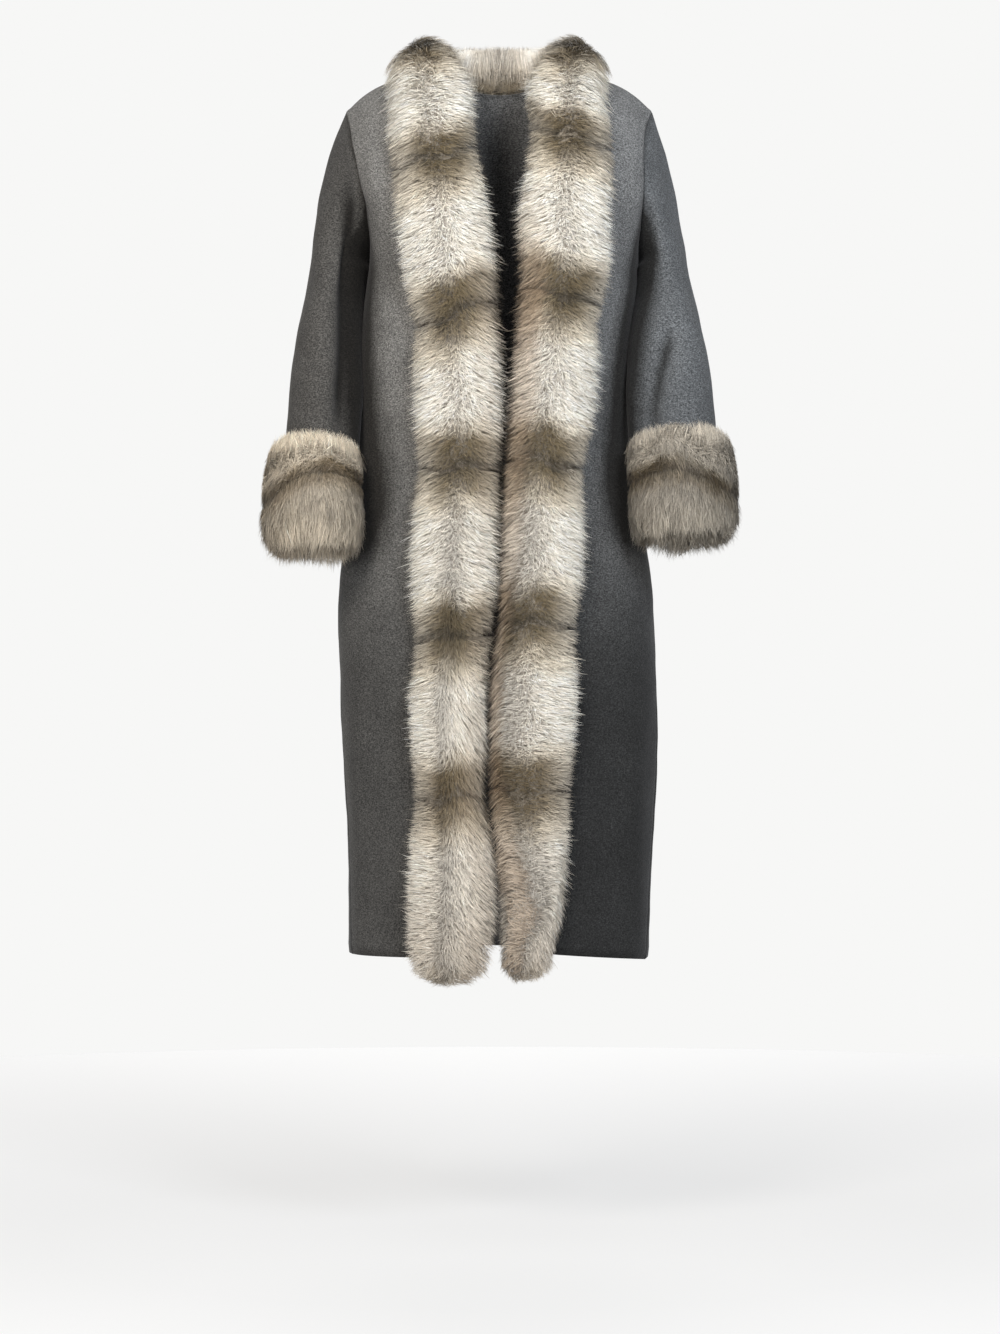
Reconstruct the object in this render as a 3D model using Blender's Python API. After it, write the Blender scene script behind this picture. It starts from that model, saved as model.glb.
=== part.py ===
"""A long straight wool coat trimmed with fur down both fronts, round the neck and at the cuffs.

The coat keeps the hollow form it has when it is worn with the arms hanging. Its front faces
-Y, +X is the wearer's left and +Z is up. The origin is the middle of the neck base at
shoulder height. All sizes are in metres.
"""

import math

import bmesh
import bpy
import numpy as np

COLLECTION = "fur_trimmed_coat"
RIGHT = -1
LEFT = 1
SIDE_NAMES = {RIGHT: "right", LEFT: "left"}

WALL = 0.0028  # heavy felted wool cloth
SEAM_GAP = 0.0003  # between the pieces that a seam joins
CHEST_Z = -0.330  # below this height the rows of a panel are level
OUTLINE_POWER = 2.3  # of the body's rounded sections, where 2 is an ellipse
OUTLINE_STEPS = 120
MITRE_LIMIT = 1.6  # the longest slanting edge at the armhole, in wall thicknesses

# How finely the panels are divided.
HEM_ROWS = 17  # from the hem to the chest
SIDE_ROWS = 3  # from the chest to the underarm
ARM_ROWS = 10  # from the underarm to the shoulder point
PLAIN_COLUMNS = 6  # from the side seam to the fur
FUR_COLUMNS = 4  # under the fur
NECK_COLUMNS = 4  # from the shoulder seam to the middle of the back neck
CAP_ROWS = 5
SLEEVE_ROWS = 10
CUFF_ROWS = 4  # of the sleeve's rows, under the fur cuff
COLLAR_STEPS = 9  # from a shoulder seam to the middle of the back
ARCH_STEPS = 8  # over a roll of fur
FRONT_COLUMNS = PLAIN_COLUMNS + FUR_COLUMNS
BACK_COLUMNS = FRONT_COLUMNS + NECK_COLUMNS
UNDERARM_ROW = HEM_ROWS + SIDE_ROWS

# Fur.
FUR_DEPTH = 0.041
FUR_ROUND = 0.72  # the power of the sine that a roll of fur rises by
FUR_OVERHANG = 0.012  # past the front edge
NECK_OVERHANG = 0.024  # at the shoulder seam, towards the neck
NECK_START_Z = -0.086  # above this height the overhang grows
COLLAR_IN = 0.014  # from the middle of the back neckline to the collar's top edge, inwards
COLLAR_UP = 0.056  # the same, upwards
COLLAR_SIDE_UP = 0.003  # at the shoulder seam
NECK_LEAN = 0.75  # how much the fur beside the neck is thicker towards the neck
LEAN_MIDDLE = 0.55  # the place across a roll where a lean changes nothing
COLLAR_DEPTH = 0.042
NECK_MIDDLE_Y = -0.010  # of the point that the collar's top edge leans towards
COLLAR_FALL_ROWS = 1.8  # how far down the back the collar lies, in rows of the panel
COLLAR_LIFT = 0.0031  # clears the facets of the curved back
PINCH = 0.13  # how much thinner the fur is at the dark line of each pelt
PINCH_WIDTH = 0.024
PELT_LINES = {
    RIGHT: (-0.943, -0.735, -0.517, -0.318, -0.115),
    LEFT: (-0.929, -0.717, -0.512, -0.300, -0.092),
}
FUR_TAIL = ((0.014, 0.90), (0.025, 0.52))  # drop below the hem, share of the full section
CUFF_DEPTH = {RIGHT: 0.0265, LEFT: 0.0255}
CUFF_OVERHANG = 0.013
CUFF_PRESSED = 0.62  # how much thinner the cuff is where it faces the body
CUFF_PRESSED_TURN = math.radians(-38)  # where that is, turned from its inner side towards the front


def table(names, *rows):
    """The columns of a short table, by name."""
    return {name: np.array(column) for name, column in zip(names.split(), zip(*rows), strict=True)}


# Half the body's width on each side, its depth before and behind the middle, and the y of the side seam.
BODY = table(
    "z right left front back seam",
    (-1.155, 0.199, 0.198, 0.156, 0.150, -0.050),
    (-1.040, 0.198, 0.201, 0.151, 0.147, -0.036),
    (-0.945, 0.201, 0.206, 0.147, 0.143, -0.026),
    (-0.870, 0.206, 0.209, 0.143, 0.140, -0.020),
    (-0.760, 0.210, 0.207, 0.139, 0.136, -0.014),
    (-0.680, 0.214, 0.205, 0.136, 0.133, -0.008),
    (-0.620, 0.207, 0.198, 0.133, 0.130, -0.004),
    (-0.550, 0.197, 0.183, 0.129, 0.125, 0.0),
    (-0.460, 0.190, 0.174, 0.127, 0.120, 0.0),
    (-0.415, 0.190, 0.174, 0.127, 0.118, 0.0),
    (-0.330, 0.185, 0.1755, 0.1295, 0.118, 0.0),
    (-0.285, 0.179, 0.181, 0.1300, 0.119, 0.0),
    (-0.240, 0.172, 0.184, 0.1275, 0.120, 0.0),
)

# The fur's edges, as x, below the chest.
FUR = table(
    "z right_in right_out left_in left_out",
    (-1.155, -0.0160, -0.108, 0.0015, 0.060),
    (-1.110, -0.0040, -0.1125, 0.0015, 0.073),
    (-1.060, -0.0010, -0.1125, 0.0005, 0.080),
    (-1.002, -0.0065, -0.111, -0.0045, 0.084),
    (-0.938, -0.0190, -0.103, -0.0115, 0.088),
    (-0.861, -0.0155, -0.110, -0.0115, 0.0945),
    (-0.810, -0.0145, -0.1115, -0.0110, 0.0995),
    (-0.734, -0.0120, -0.103, -0.0030, 0.0945),
    (-0.682, -0.0020, -0.110, 0.0010, 0.101),
    (-0.631, -0.0010, -0.1115, 0.0020, 0.107),
    (-0.580, -0.0005, -0.1085, 0.0050, 0.1045),
    (-0.516, 0.0005, -0.101, 0.0077, 0.1030),
    (-0.452, 0.0050, -0.106, 0.0128, 0.1160),
    (-0.401, 0.0045, -0.1065, 0.0153, 0.1215),
    (-0.330, 0.0005, -0.1045, 0.0210, 0.1190),
)

# The front edge of each front from the chest to the neck point.
FRONT_EDGE = table(
    "z y right left",
    (-0.330, -0.1295, 0.0115, 0.0330),
    (-0.290, -0.1295, 0.0125, 0.0355),
    (-0.245, -0.1270, 0.0160, 0.0385),
    (-0.194, -0.1200, 0.0245, 0.0360),
    (-0.140, -0.1090, 0.0350, 0.0470),
    (-0.086, -0.0920, 0.0445, 0.0550),
    (-0.045, -0.0710, 0.0500, 0.0530),
    (-0.010, -0.0430, 0.0590, 0.0590),
    (0.012, -0.0150, 0.0700, 0.0700),
    (0.020, 0.0060, 0.0780, 0.0780),
)

# The middle of the back from the chest to the neckline.
CENTRE_BACK = table(
    "z y",
    (-0.330, 0.118),
    (-0.240, 0.1200),
    (-0.160, 0.1180),
    (-0.100, 0.1090),
    (-0.050, 0.0915),
    (-0.003, 0.0660),
)

# The armhole from the underarm to the shoulder point. Its front and back share x and z.
ARMHOLE = table(
    "z front back right left",
    (-0.240, 0.0, 0.0, 0.172, 0.184),
    (-0.213, -0.036, 0.034, 0.169, 0.184),
    (-0.180, -0.062, 0.058, 0.171, 0.188),
    (-0.143, -0.073, 0.068, 0.178, 0.190),
    (-0.104, -0.062, 0.058, 0.186, 0.190),
    (-0.060, -0.033, 0.031, 0.196, 0.193),
    (-0.0355, 0.0, 0.0, 0.203, 0.203),
)

SHOULDER = table(
    "x y z",
    (0.203, 0.0, -0.0355),
    (0.184, 0.0, -0.0165),
    (0.162, 0.001, -0.002),
    (0.140, 0.002, 0.007),
    (0.110, 0.004, 0.014),
    (0.078, 0.006, 0.020),
)
UNDERARM_SHARE = 0.10  # of the front edge or middle back above the chest, up to the underarm's row
LOW_BOW_POWER = 2.4  # how late the chest's roundness gives way on the way up
HIGH_BOW_POWER = 4.0  # how late the shoulder's roundness sets in
# How much further out the fur's outer edge lies between the chest and the shoulder, as a share.
FUR_SWELL = {RIGHT: 0.092, LEFT: 0.072}
SHOULDER_FUR_X = {RIGHT: 0.147, LEFT: 0.144}  # where that edge crosses the shoulder seam

NECKLINE = table(
    "x y z",
    (0.078, 0.006, 0.020),
    (0.063, 0.040, 0.010),
    (0.035, 0.060, 0.000),
    (0.0, 0.066, -0.003),
)

# The sleeves below the armhole: x of the outer and inner sides, y of the middle, and half the depth.
SLEEVE = {
    RIGHT: table(
        "z outer inner y depth",
        (-0.608, 0.2800, 0.1965, -0.104, 0.050),
        (-0.555, 0.2795, 0.1960, -0.092, 0.052),
        (-0.510, 0.2790, 0.1950, -0.080, 0.054),
        (-0.465, 0.2775, 0.1915, -0.068, 0.057),
        (-0.420, 0.2745, 0.1880, -0.056, 0.059),
        (-0.375, 0.2705, 0.1865, -0.044, 0.061),
        (-0.330, 0.2635, 0.1860, -0.030, 0.063),
        (-0.290, 0.2575, 0.1850, -0.014, 0.064),
    ),
    LEFT: table(
        "z outer inner y depth",
        (-0.592, 0.2840, 0.1890, -0.101, 0.050),
        (-0.550, 0.2840, 0.1870, -0.091, 0.052),
        (-0.505, 0.2835, 0.1830, -0.079, 0.055),
        (-0.460, 0.2830, 0.1775, -0.067, 0.058),
        (-0.420, 0.2805, 0.1745, -0.056, 0.060),
        (-0.375, 0.2775, 0.1750, -0.044, 0.061),
        (-0.330, 0.2685, 0.1785, -0.030, 0.063),
        (-0.290, 0.2615, 0.1850, -0.014, 0.064),
    ),
}
# The way the sleeve leaves the armhole, outwards and down, at the underarm and at the shoulder point.
LEAVES_UNDERARM = np.array([0.93, 0.0, -0.36])
LEAVES_SHOULDER = {RIGHT: np.array([0.62, 0.0, -0.78]), LEFT: np.array([0.45, 0.0, -0.89])}
CAP_PULL = 0.72  # how long it keeps that way, as a share of the distance to the upper arm
SLOPE_STEP = 0.01  # the height either side of a ring over which the sleeve's slope is taken

# The hem's height at the side seam and at the front edge.
HEM_SIDE = {RIGHT: -1.143, LEFT: -1.150}
HEM_FRONT = {RIGHT: -1.140, LEFT: -1.127}
HEM_BACK = -1.146
HEM_EASE_SHARE = 1 / 3  # of half the back's width, over which its hem reaches that height

MATERIALS = {
    "wool": ((0.105, 0.105, 0.108, 1.0), 0.95),
    "fur": ((0.560, 0.510, 0.440, 1.0), 0.90),
}


def unit(vectors):
    """The vectors at a length of one."""
    return vectors / np.linalg.norm(vectors, axis=-1, keepdims=True)


def smooth(x, xs, ys):
    """The value at x of a smooth curve through the points (xs, ys), with xs rising."""
    slopes = np.gradient(ys, xs)
    i = np.clip(np.searchsorted(xs, x) - 1, 0, len(xs) - 2)
    step = xs[i + 1] - xs[i]
    t = np.clip((x - xs[i]) / step, 0.0, 1.0)
    start = (1 + 2 * t) * (1 - t) ** 2 * ys[i] + t * (1 - t) ** 2 * step * slopes[i]
    end = t * t * (3 - 2 * t) * ys[i + 1] - t * t * (1 - t) * step * slopes[i + 1]
    return start + end


def column(rows, name, z):
    """A column of a table, read at one height."""
    return smooth(z, rows["z"], rows[name])


def lengths(points):
    """How far along a polyline each of its points lies."""
    steps = np.linalg.norm(np.diff(points, axis=0), axis=1)
    return np.concatenate([[0.0], np.cumsum(steps)])


def along(points, places):
    """The points at the given shares of a polyline's length."""
    far = lengths(points)
    return np.stack([np.interp(np.asarray(places) * far[-1], far, points[:, k]) for k in range(3)], axis=1)


def curve(points, steps=80):
    """A smooth polyline through a few points."""
    far = lengths(points)
    return np.stack([smooth(np.linspace(0, far[-1], steps), far, points[:, k]) for k in range(3)], axis=1)


def half_outline(z, side):
    """Half the body's section at one height, from the middle of the front to the middle of the back."""
    turn = np.linspace(-math.pi / 2, math.pi / 2, OUTLINE_STEPS + 1)
    power = 2 / OUTLINE_POWER
    depth = np.where(turn < 0, column(BODY, "front", z), column(BODY, "back", z))
    x = side * column(BODY, SIDE_NAMES[side], z) * np.abs(np.cos(turn)) ** power
    y = np.sign(turn) * depth * np.abs(np.sin(turn)) ** power
    return np.stack([x, y, np.full_like(x, z)], axis=1)


def places_on_outline(points, z, side):
    """How far round the outline the front edge, the fur's outer edge and the side seam lie."""
    far = lengths(points)
    front = slice(0, OUTLINE_STEPS // 2 + 1)
    reach = np.abs(points[front, 0])
    name = SIDE_NAMES[side]
    inner = side * column(FUR, name + "_in", z) + FUR_OVERHANG
    outer = side * column(FUR, name + "_out", z)
    edge = np.interp(inner, reach, far[front])
    fur = np.interp(outer, reach, far[front])
    seam = np.interp(column(BODY, "seam", z), points[:, 1], far)
    return edge / far[-1], fur / far[-1], seam / far[-1]


def shares(first, middle, last):
    """The columns of a front: even ones from first to middle, then from middle to last."""
    return np.concatenate(
        [
            np.linspace(first, middle, PLAIN_COLUMNS + 1)[:-1],
            np.linspace(middle, last, FUR_COLUMNS + 1),
        ]
    )


def lower_front(side):
    """The points of a front from the hem to the chest, row by row from the side seam."""
    grid = np.zeros((HEM_ROWS + 1, FRONT_COLUMNS + 1, 3))
    for i in range(HEM_ROWS + 1):
        for j in range(FRONT_COLUMNS + 1):
            hem = HEM_SIDE[side] + (HEM_FRONT[side] - HEM_SIDE[side]) * j / FRONT_COLUMNS
            z = hem + (CHEST_Z - hem) * i / HEM_ROWS
            outline = half_outline(z, side)
            edge, fur, seam = places_on_outline(outline, z, side)
            grid[i, j] = along(outline, [shares(seam, fur, edge)[j]])[0]
    return grid


def lower_back(side):
    """The points of half the back from the hem to the chest, row by row from the side seam."""
    grid = np.zeros((HEM_ROWS + 1, BACK_COLUMNS + 1, 3))
    for i in range(HEM_ROWS + 1):
        for j in range(BACK_COLUMNS + 1):
            ease = min(1.0, j / BACK_COLUMNS / HEM_EASE_SHARE)
            hem = HEM_SIDE[side] + (HEM_BACK - HEM_SIDE[side]) * ease
            z = hem + (CHEST_Z - hem) * i / HEM_ROWS
            outline = half_outline(z, side)
            seam = places_on_outline(outline, z, side)[2]
            grid[i, j] = along(outline, [seam + (1 - seam) * j / BACK_COLUMNS])[0]
    return grid


def armhole_side(side, face):
    """The side seam above the chest, then the front or back of the armhole, up to the shoulder point."""
    seam = np.zeros((SIDE_ROWS + 1, 3))
    seam[:, 2] = np.linspace(CHEST_Z, ARMHOLE["z"][0], SIDE_ROWS + 1)
    seam[:, 0] = side * column(BODY, SIDE_NAMES[side], seam[:, 2])
    hole = np.stack([side * ARMHOLE[SIDE_NAMES[side]], ARMHOLE[face], ARMHOLE["z"]], axis=1)
    return np.concatenate([seam[:-1], along(curve(hole), np.linspace(0, 1, ARM_ROWS + 1))])


def shoulder_seam(side):
    """The points of a shoulder seam from the shoulder point to the neck point."""
    seam = curve(np.stack([side * SHOULDER["x"], SHOULDER["y"], SHOULDER["z"]], axis=1))
    far = lengths(seam)
    fur = np.interp(-SHOULDER_FUR_X[side], -np.abs(seam[:, 0]), far) / far[-1]
    return along(seam, shares(0.0, fur, 1.0))


def patch(left, right, bottom, top, swell=0.0):
    """A smooth grid of points inside four edges, which meet at their ends.

    Its columns run from those of the bottom to those of the top, and swell moves the fur's outer
    edge towards the left on the way.
    """
    rows, columns = len(left), len(bottom)
    low = lengths(bottom) / lengths(bottom)[-1]
    high = lengths(top) / lengths(top)[-1]
    place = np.arange(columns)
    hat = np.interp(place, [0, PLAIN_COLUMNS, FRONT_COLUMNS], [0, 1, 0])

    def bottom_at(u):
        return along(bottom, u[:, 0])

    def top_at(u):
        return along(top, u[:, 0])

    grid = np.zeros((rows, columns, 3))
    for i in range(rows):
        v = i / (rows - 1)
        u = ((1 - v) * low + v * high - swell * math.sin(math.pi * v) * hat)[:, None]
        low_bow = (1 - v**LOW_BOW_POWER) * (bottom_at(u) - (1 - u) * bottom[0] - u * bottom[-1])
        high_bow = v**HIGH_BOW_POWER * (top_at(u) - (1 - u) * top[0] - u * top[-1])
        grid[i] = (1 - u) * left[i] + u * right[i] + low_bow + high_bow
    return grid


def rising_shares():
    """How far up the front edge or the middle of the back each row above the chest ends.

    The rows drop from the underarm, so that they cross the armhole at a wide angle.
    """
    low = np.linspace(0, UNDERARM_SHARE, SIDE_ROWS + 1)
    return np.concatenate([low[:-1], np.linspace(UNDERARM_SHARE, 1, ARM_ROWS + 1)])


def front_points(side):
    """A front's outer points, from the hem to the shoulder and from the side seam to the front edge."""
    lower = lower_front(side)
    name = SIDE_NAMES[side]
    edge = curve(np.stack([side * FRONT_EDGE[name], FRONT_EDGE["y"], FRONT_EDGE["z"]], axis=1))
    right = along(edge, rising_shares())
    right[0] = lower[-1, -1]
    upper = patch(armhole_side(side, "front"), right, lower[-1], shoulder_seam(side), FUR_SWELL[side])
    return np.concatenate([lower, upper[1:]])


def half_back_points(side):
    """Half the back's outer points, from the hem up and from the side seam to the middle."""
    lower = lower_back(side)
    middle = curve(np.stack([0 * CENTRE_BACK["y"], CENTRE_BACK["y"], CENTRE_BACK["z"]], axis=1))
    right = along(middle, rising_shares())
    neck = curve(np.stack([side * NECKLINE["x"], NECKLINE["y"], NECKLINE["z"]], axis=1))
    neck = along(neck, np.linspace(0, 1, NECK_COLUMNS + 1))
    top = np.concatenate([shoulder_seam(side), neck[1:]])
    right[0] = lower[-1, -1]
    upper = patch(armhole_side(side, "back"), right, lower[-1], top)
    return np.concatenate([lower, upper[1:]])


def grid_normals(points, closed, outside):
    """The normals of a grid of points, turned to the side that outside gives at its first point."""
    up = np.gradient(points, axis=0)
    if closed:
        across = (np.roll(points, -1, axis=1) - np.roll(points, 1, axis=1)) / 2
    else:
        across = np.gradient(points, axis=1)
    normals = unit(np.cross(across, up))
    return normals if np.dot(normals[0, 0], outside) > 0 else -normals


def panel(points, outside, closed=False):
    """A piece of cloth: its outer points, its normals, the way through its wall and its seam allowance."""
    normals = grid_normals(points, closed, outside)
    return {
        "points": points,
        "normals": normals,
        "through": normals.copy(),
        "shift": np.zeros_like(points),
        "closed": closed,
    }


def sleeve_ring(side, z):
    """One ring of a sleeve, from its inner side round by the front."""
    rows = SLEEVE[side]

    def centre(height):
        x = side * (column(rows, "outer", height) + column(rows, "inner", height)) / 2
        return np.array([x, column(rows, "y", height), height])

    way = unit(centre(z - SLOPE_STEP) - centre(z + SLOPE_STEP))
    if z >= rows["z"][-1]:
        way = np.array([0.0, 0.0, -1.0])
    inwards = np.array([-side, 0.0, 0.0])
    inwards = unit(inwards - way * np.dot(inwards, way))
    forwards = np.cross(way, inwards)
    forwards = forwards if forwards[1] < 0 else -forwards
    half = (column(rows, "outer", z) - column(rows, "inner", z)) / 2
    turn = np.linspace(0, 2 * math.pi, 2 * ARM_ROWS + 1)[:-1, None]
    return centre(z) + half * np.cos(turn) * inwards + column(rows, "depth", z) * np.sin(turn) * forwards


def sleeve_points(side, front, back):
    """A sleeve's outer points, from the armhole to the wrist, ring by ring."""
    hole = np.concatenate([front[UNDERARM_ROW:, 0], back[UNDERARM_ROW + 1 : -1, 0][::-1]])
    heights = np.linspace(SLEEVE[side]["z"][-1], SLEEVE[side]["z"][0], SLEEVE_ROWS + 1)
    rings = [sleeve_ring(side, z) for z in heights]
    span = np.linalg.norm(rings[0] - hole, axis=1, keepdims=True)
    height = (hole[:, 2:] - hole[0, 2]) / (hole[ARM_ROWS, 2] - hole[0, 2])
    leave = span * CAP_PULL * ((1 - height) * LEAVES_UNDERARM + height * LEAVES_SHOULDER[side]) * (side, 1, 1)
    arrive = span * unit(rings[1] - rings[0])
    cap = []
    for t in np.linspace(0, 1, CAP_ROWS + 1)[:-1]:
        start = (1 + 2 * t) * (1 - t) ** 2 * hole + t * (1 - t) ** 2 * leave
        end = t * t * (3 - 2 * t) * rings[0] - t * t * (1 - t) * arrive
        cap.append(start + end)
    return np.array(cap + rings)


def mitre(first, second):
    """One way through the wall for two edges that meet, halfway between their normals."""
    middle = unit(first + second)
    return middle / np.maximum(np.sum(middle * first, axis=-1, keepdims=True), 1 / MITRE_LIMIT)


def join(piece_a, cells_a, piece_b, cells_b):
    """Makes two pieces share the way through the wall along a seam."""
    ways = mitre(piece_a["through"][cells_a], piece_b["through"][cells_b])
    piece_a["through"][cells_a] = ways
    piece_b["through"][cells_b] = ways


def trim(piece, cells, inside):
    """Moves the edge of a piece back from its seam by half the gap, towards the cells inside it."""
    edge = piece["points"][cells]
    if piece["closed"] and len(edge) == piece["points"].shape[1]:
        run = np.roll(edge, -1, axis=0) - np.roll(edge, 1, axis=0)
    else:
        run = np.gradient(edge, axis=0)
    back = unit(np.cross(run, piece["through"][cells]))
    sign = np.sign(np.sum(back * (piece["points"][inside] - edge), axis=1, keepdims=True))
    piece["shift"][cells] += sign * back * SEAM_GAP / 2


def edge_cells(rows, columns):
    """The cells of a grid along one edge, as an index for it."""
    rows, columns = np.broadcast_arrays(np.atleast_1d(rows), np.atleast_1d(columns))
    return rows, columns


def sew(fronts, back, sleeves):
    """Lines up the walls of the pieces along every seam and leaves the gap there."""
    last = back["points"].shape[0] - 1
    seam_rows = np.arange(UNDERARM_ROW + 1)
    arm_rows = np.arange(UNDERARM_ROW, last + 1)
    shoulder = np.arange(FRONT_COLUMNS + 1)
    for side in (RIGHT, LEFT):
        front, sleeve = fronts[side], sleeves[side]
        edge = 0 if side == RIGHT else 2 * BACK_COLUMNS
        step = 1 if side == RIGHT else -1
        join(front, edge_cells(seam_rows, 0), back, edge_cells(seam_rows, edge))
        join(front, edge_cells(last, shoulder), back, edge_cells(last, edge + step * shoulder))
        ring = np.arange(2 * ARM_ROWS)
        body = np.concatenate([front["through"][arm_rows, 0], back["through"][arm_rows[1:-1], edge][::-1]])
        ways = mitre(unit(body), sleeve["normals"][0])
        sleeve["through"][0] = ways
        front["through"][arm_rows, 0] = ways[: ARM_ROWS + 1]
        back["through"][arm_rows, edge] = np.concatenate([ways[:1], ways[ARM_ROWS:][::-1]])
        trim(front, edge_cells(seam_rows, 0), edge_cells(seam_rows, 1))
        trim(back, edge_cells(seam_rows, edge), edge_cells(seam_rows, edge + step))
        trim(front, edge_cells(last, shoulder), edge_cells(last - 1, shoulder))
        trim(back, edge_cells(last, edge + step * shoulder), edge_cells(last - 1, edge + step * shoulder))
        below = arm_rows.copy()
        below[0] -= 1
        beside = np.where(arm_rows == UNDERARM_ROW, 0, 1)
        trim(front, edge_cells(arm_rows, 0), edge_cells(below, beside))
        trim(back, edge_cells(arm_rows, edge), edge_cells(below, edge + step * beside))
        trim(sleeve, edge_cells(0, ring), edge_cells(1, ring))


def new_object(name, material, build, collection):
    """An object from a bmesh that build fills, closed and facing out."""
    bm = bmesh.new()
    build(bm)
    bmesh.ops.recalc_face_normals(bm, faces=bm.faces)
    mesh = bpy.data.meshes.new(name)
    bm.to_mesh(mesh)
    bm.free()
    mesh.shade_smooth()
    mesh.set_sharp_from_angle(angle=math.radians(60))
    mesh.materials.append(material)
    thing = bpy.data.objects.new(name, mesh)
    collection.objects.link(thing)
    return thing


def add_strip(bm, first, second, closed, leans_back=False):
    """Triangles between two rows of vertices, whose diagonals all lean one way."""
    count = len(first)
    for j in range(count if closed else count - 1):
        k = (j + 1) % count
        if leans_back:
            bm.faces.new((first[j], first[k], second[j]))
            bm.faces.new((first[k], second[k], second[j]))
        else:
            bm.faces.new((first[j], first[k], second[k]))
            bm.faces.new((first[j], second[k], second[j]))


def add_grid(bm, points, closed, leans_back=False):
    """The vertices of a grid and its faces."""
    verts = [[bm.verts.new(point) for point in row] for row in points]
    for low, high in zip(verts, verts[1:], strict=False):
        add_strip(bm, low, high, closed, leans_back)
    return verts


def add_wall(bm, piece, leans_back=False):
    """A piece of cloth as a wall: its outer face, its inner face and its edges."""
    outer = add_grid(bm, piece["points"] + piece["shift"], piece["closed"])
    inner = add_grid(bm, piece["points"] + piece["shift"] - WALL * piece["through"], piece["closed"])
    add_strip(bm, outer[0], inner[0], piece["closed"])
    add_strip(bm, outer[-1], inner[-1], piece["closed"])
    if not piece["closed"]:
        for end in (0, -1):
            add_strip(bm, [row[end] for row in outer], [row[end] for row in inner], False, leans_back)


def add_loft(bm, rings, closed):
    """A solid through closed sections, either a ring or one with a cap on each end.

    A section runs back along its base, so these diagonals match those of the cloth below.
    """
    verts = add_grid(bm, rings, True, leans_back=True)
    if closed:
        add_strip(bm, verts[-1], verts[0], True, leans_back=True)
        return
    for ring, points in ((verts[0], rings[0]), (verts[-1], rings[-1])):
        middle = bm.verts.new(np.mean(points, axis=0))
        for j in range(len(ring)):
            bm.faces.new((ring[j], ring[(j + 1) % len(ring)], middle))


def fur_section(base, normals, tip, depth, lift, lean=0.0, tip_normal=None):
    """One section of a roll of fur that lies on the base line and reaches past its end by tip.

    With a lean the roll is thicker towards the tip.
    """
    line = np.concatenate([base, [base[-1] + tip]])
    ways = np.concatenate([normals, normals[-1:] if tip_normal is None else [tip_normal]])
    far = lengths(line) / lengths(line)[-1]
    turn = np.linspace(0, math.pi, ARCH_STEPS + 1)
    place = (1 - np.cos(turn)) / 2
    rise = lift + depth * np.abs(np.sin(turn)) ** FUR_ROUND * (1 + lean * (place - LEAN_MIDDLE))
    on_line = np.stack([np.interp(place, far, line[:, k]) for k in range(3)], axis=1)
    outwards = np.stack([np.interp(place, far, ways[:, k]) for k in range(3)], axis=1)
    arch = on_line + rise[:, None] * outwards
    under = (base + lift * normals)[:0:-1]
    return np.concatenate([arch, under])


def fur_depth(z, side):
    """How thick the fur is at one height: less at the dark line of each pelt."""
    waists = sum(math.exp(-(((z - line) / PINCH_WIDTH) ** 2)) for line in PELT_LINES[side])
    return FUR_DEPTH * (1 - PINCH * waists)


def front_fur(side, front):
    """The sections of the fur down one front, from below the hem to the shoulder seam."""
    rings = []
    last = len(front["points"]) - 1
    for i in range(last + 1):
        base = front["points"][i, PLAIN_COLUMNS:]
        normals = front["normals" if i < last else "through"][i, PLAIN_COLUMNS:]
        neck = np.clip((base[-1, 2] - NECK_START_Z) / (FRONT_EDGE["z"][-1] - NECK_START_Z), 0, 1)
        tip = unit(base[-1] - base[-2]) * (FUR_OVERHANG + neck * (NECK_OVERHANG - FUR_OVERHANG))
        tip = tip + np.array([0.0, 0.0, neck * COLLAR_SIDE_UP])
        depth = fur_depth(base[-1, 2], side)
        rings.append(fur_section(base, normals, tip, depth, SEAM_GAP, neck * NECK_LEAN))
    full = rings[0]
    middle = np.mean(full, axis=0)
    for drop, share in FUR_TAIL:
        low = middle + share * (full - middle)
        low[:, 2] = full[:, 2].min() - drop
        rings.insert(0, low)
    return np.array(rings)


def back_at(back, u, v):
    """The back's outer point and normal at a place between its rows and columns."""
    i, j = min(int(v), back["points"].shape[0] - 2), min(int(u), back["points"].shape[1] - 2)
    s, t = v - i, u - j
    found = []
    for name in ("points", "through"):
        grid = back[name]
        low = (1 - t) * grid[i, j] + t * grid[i, j + 1]
        high = (1 - t) * grid[i + 1, j] + t * grid[i + 1, j + 1]
        found.append((1 - s) * low + s * high)
    return found[0], unit(found[1])


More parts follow.
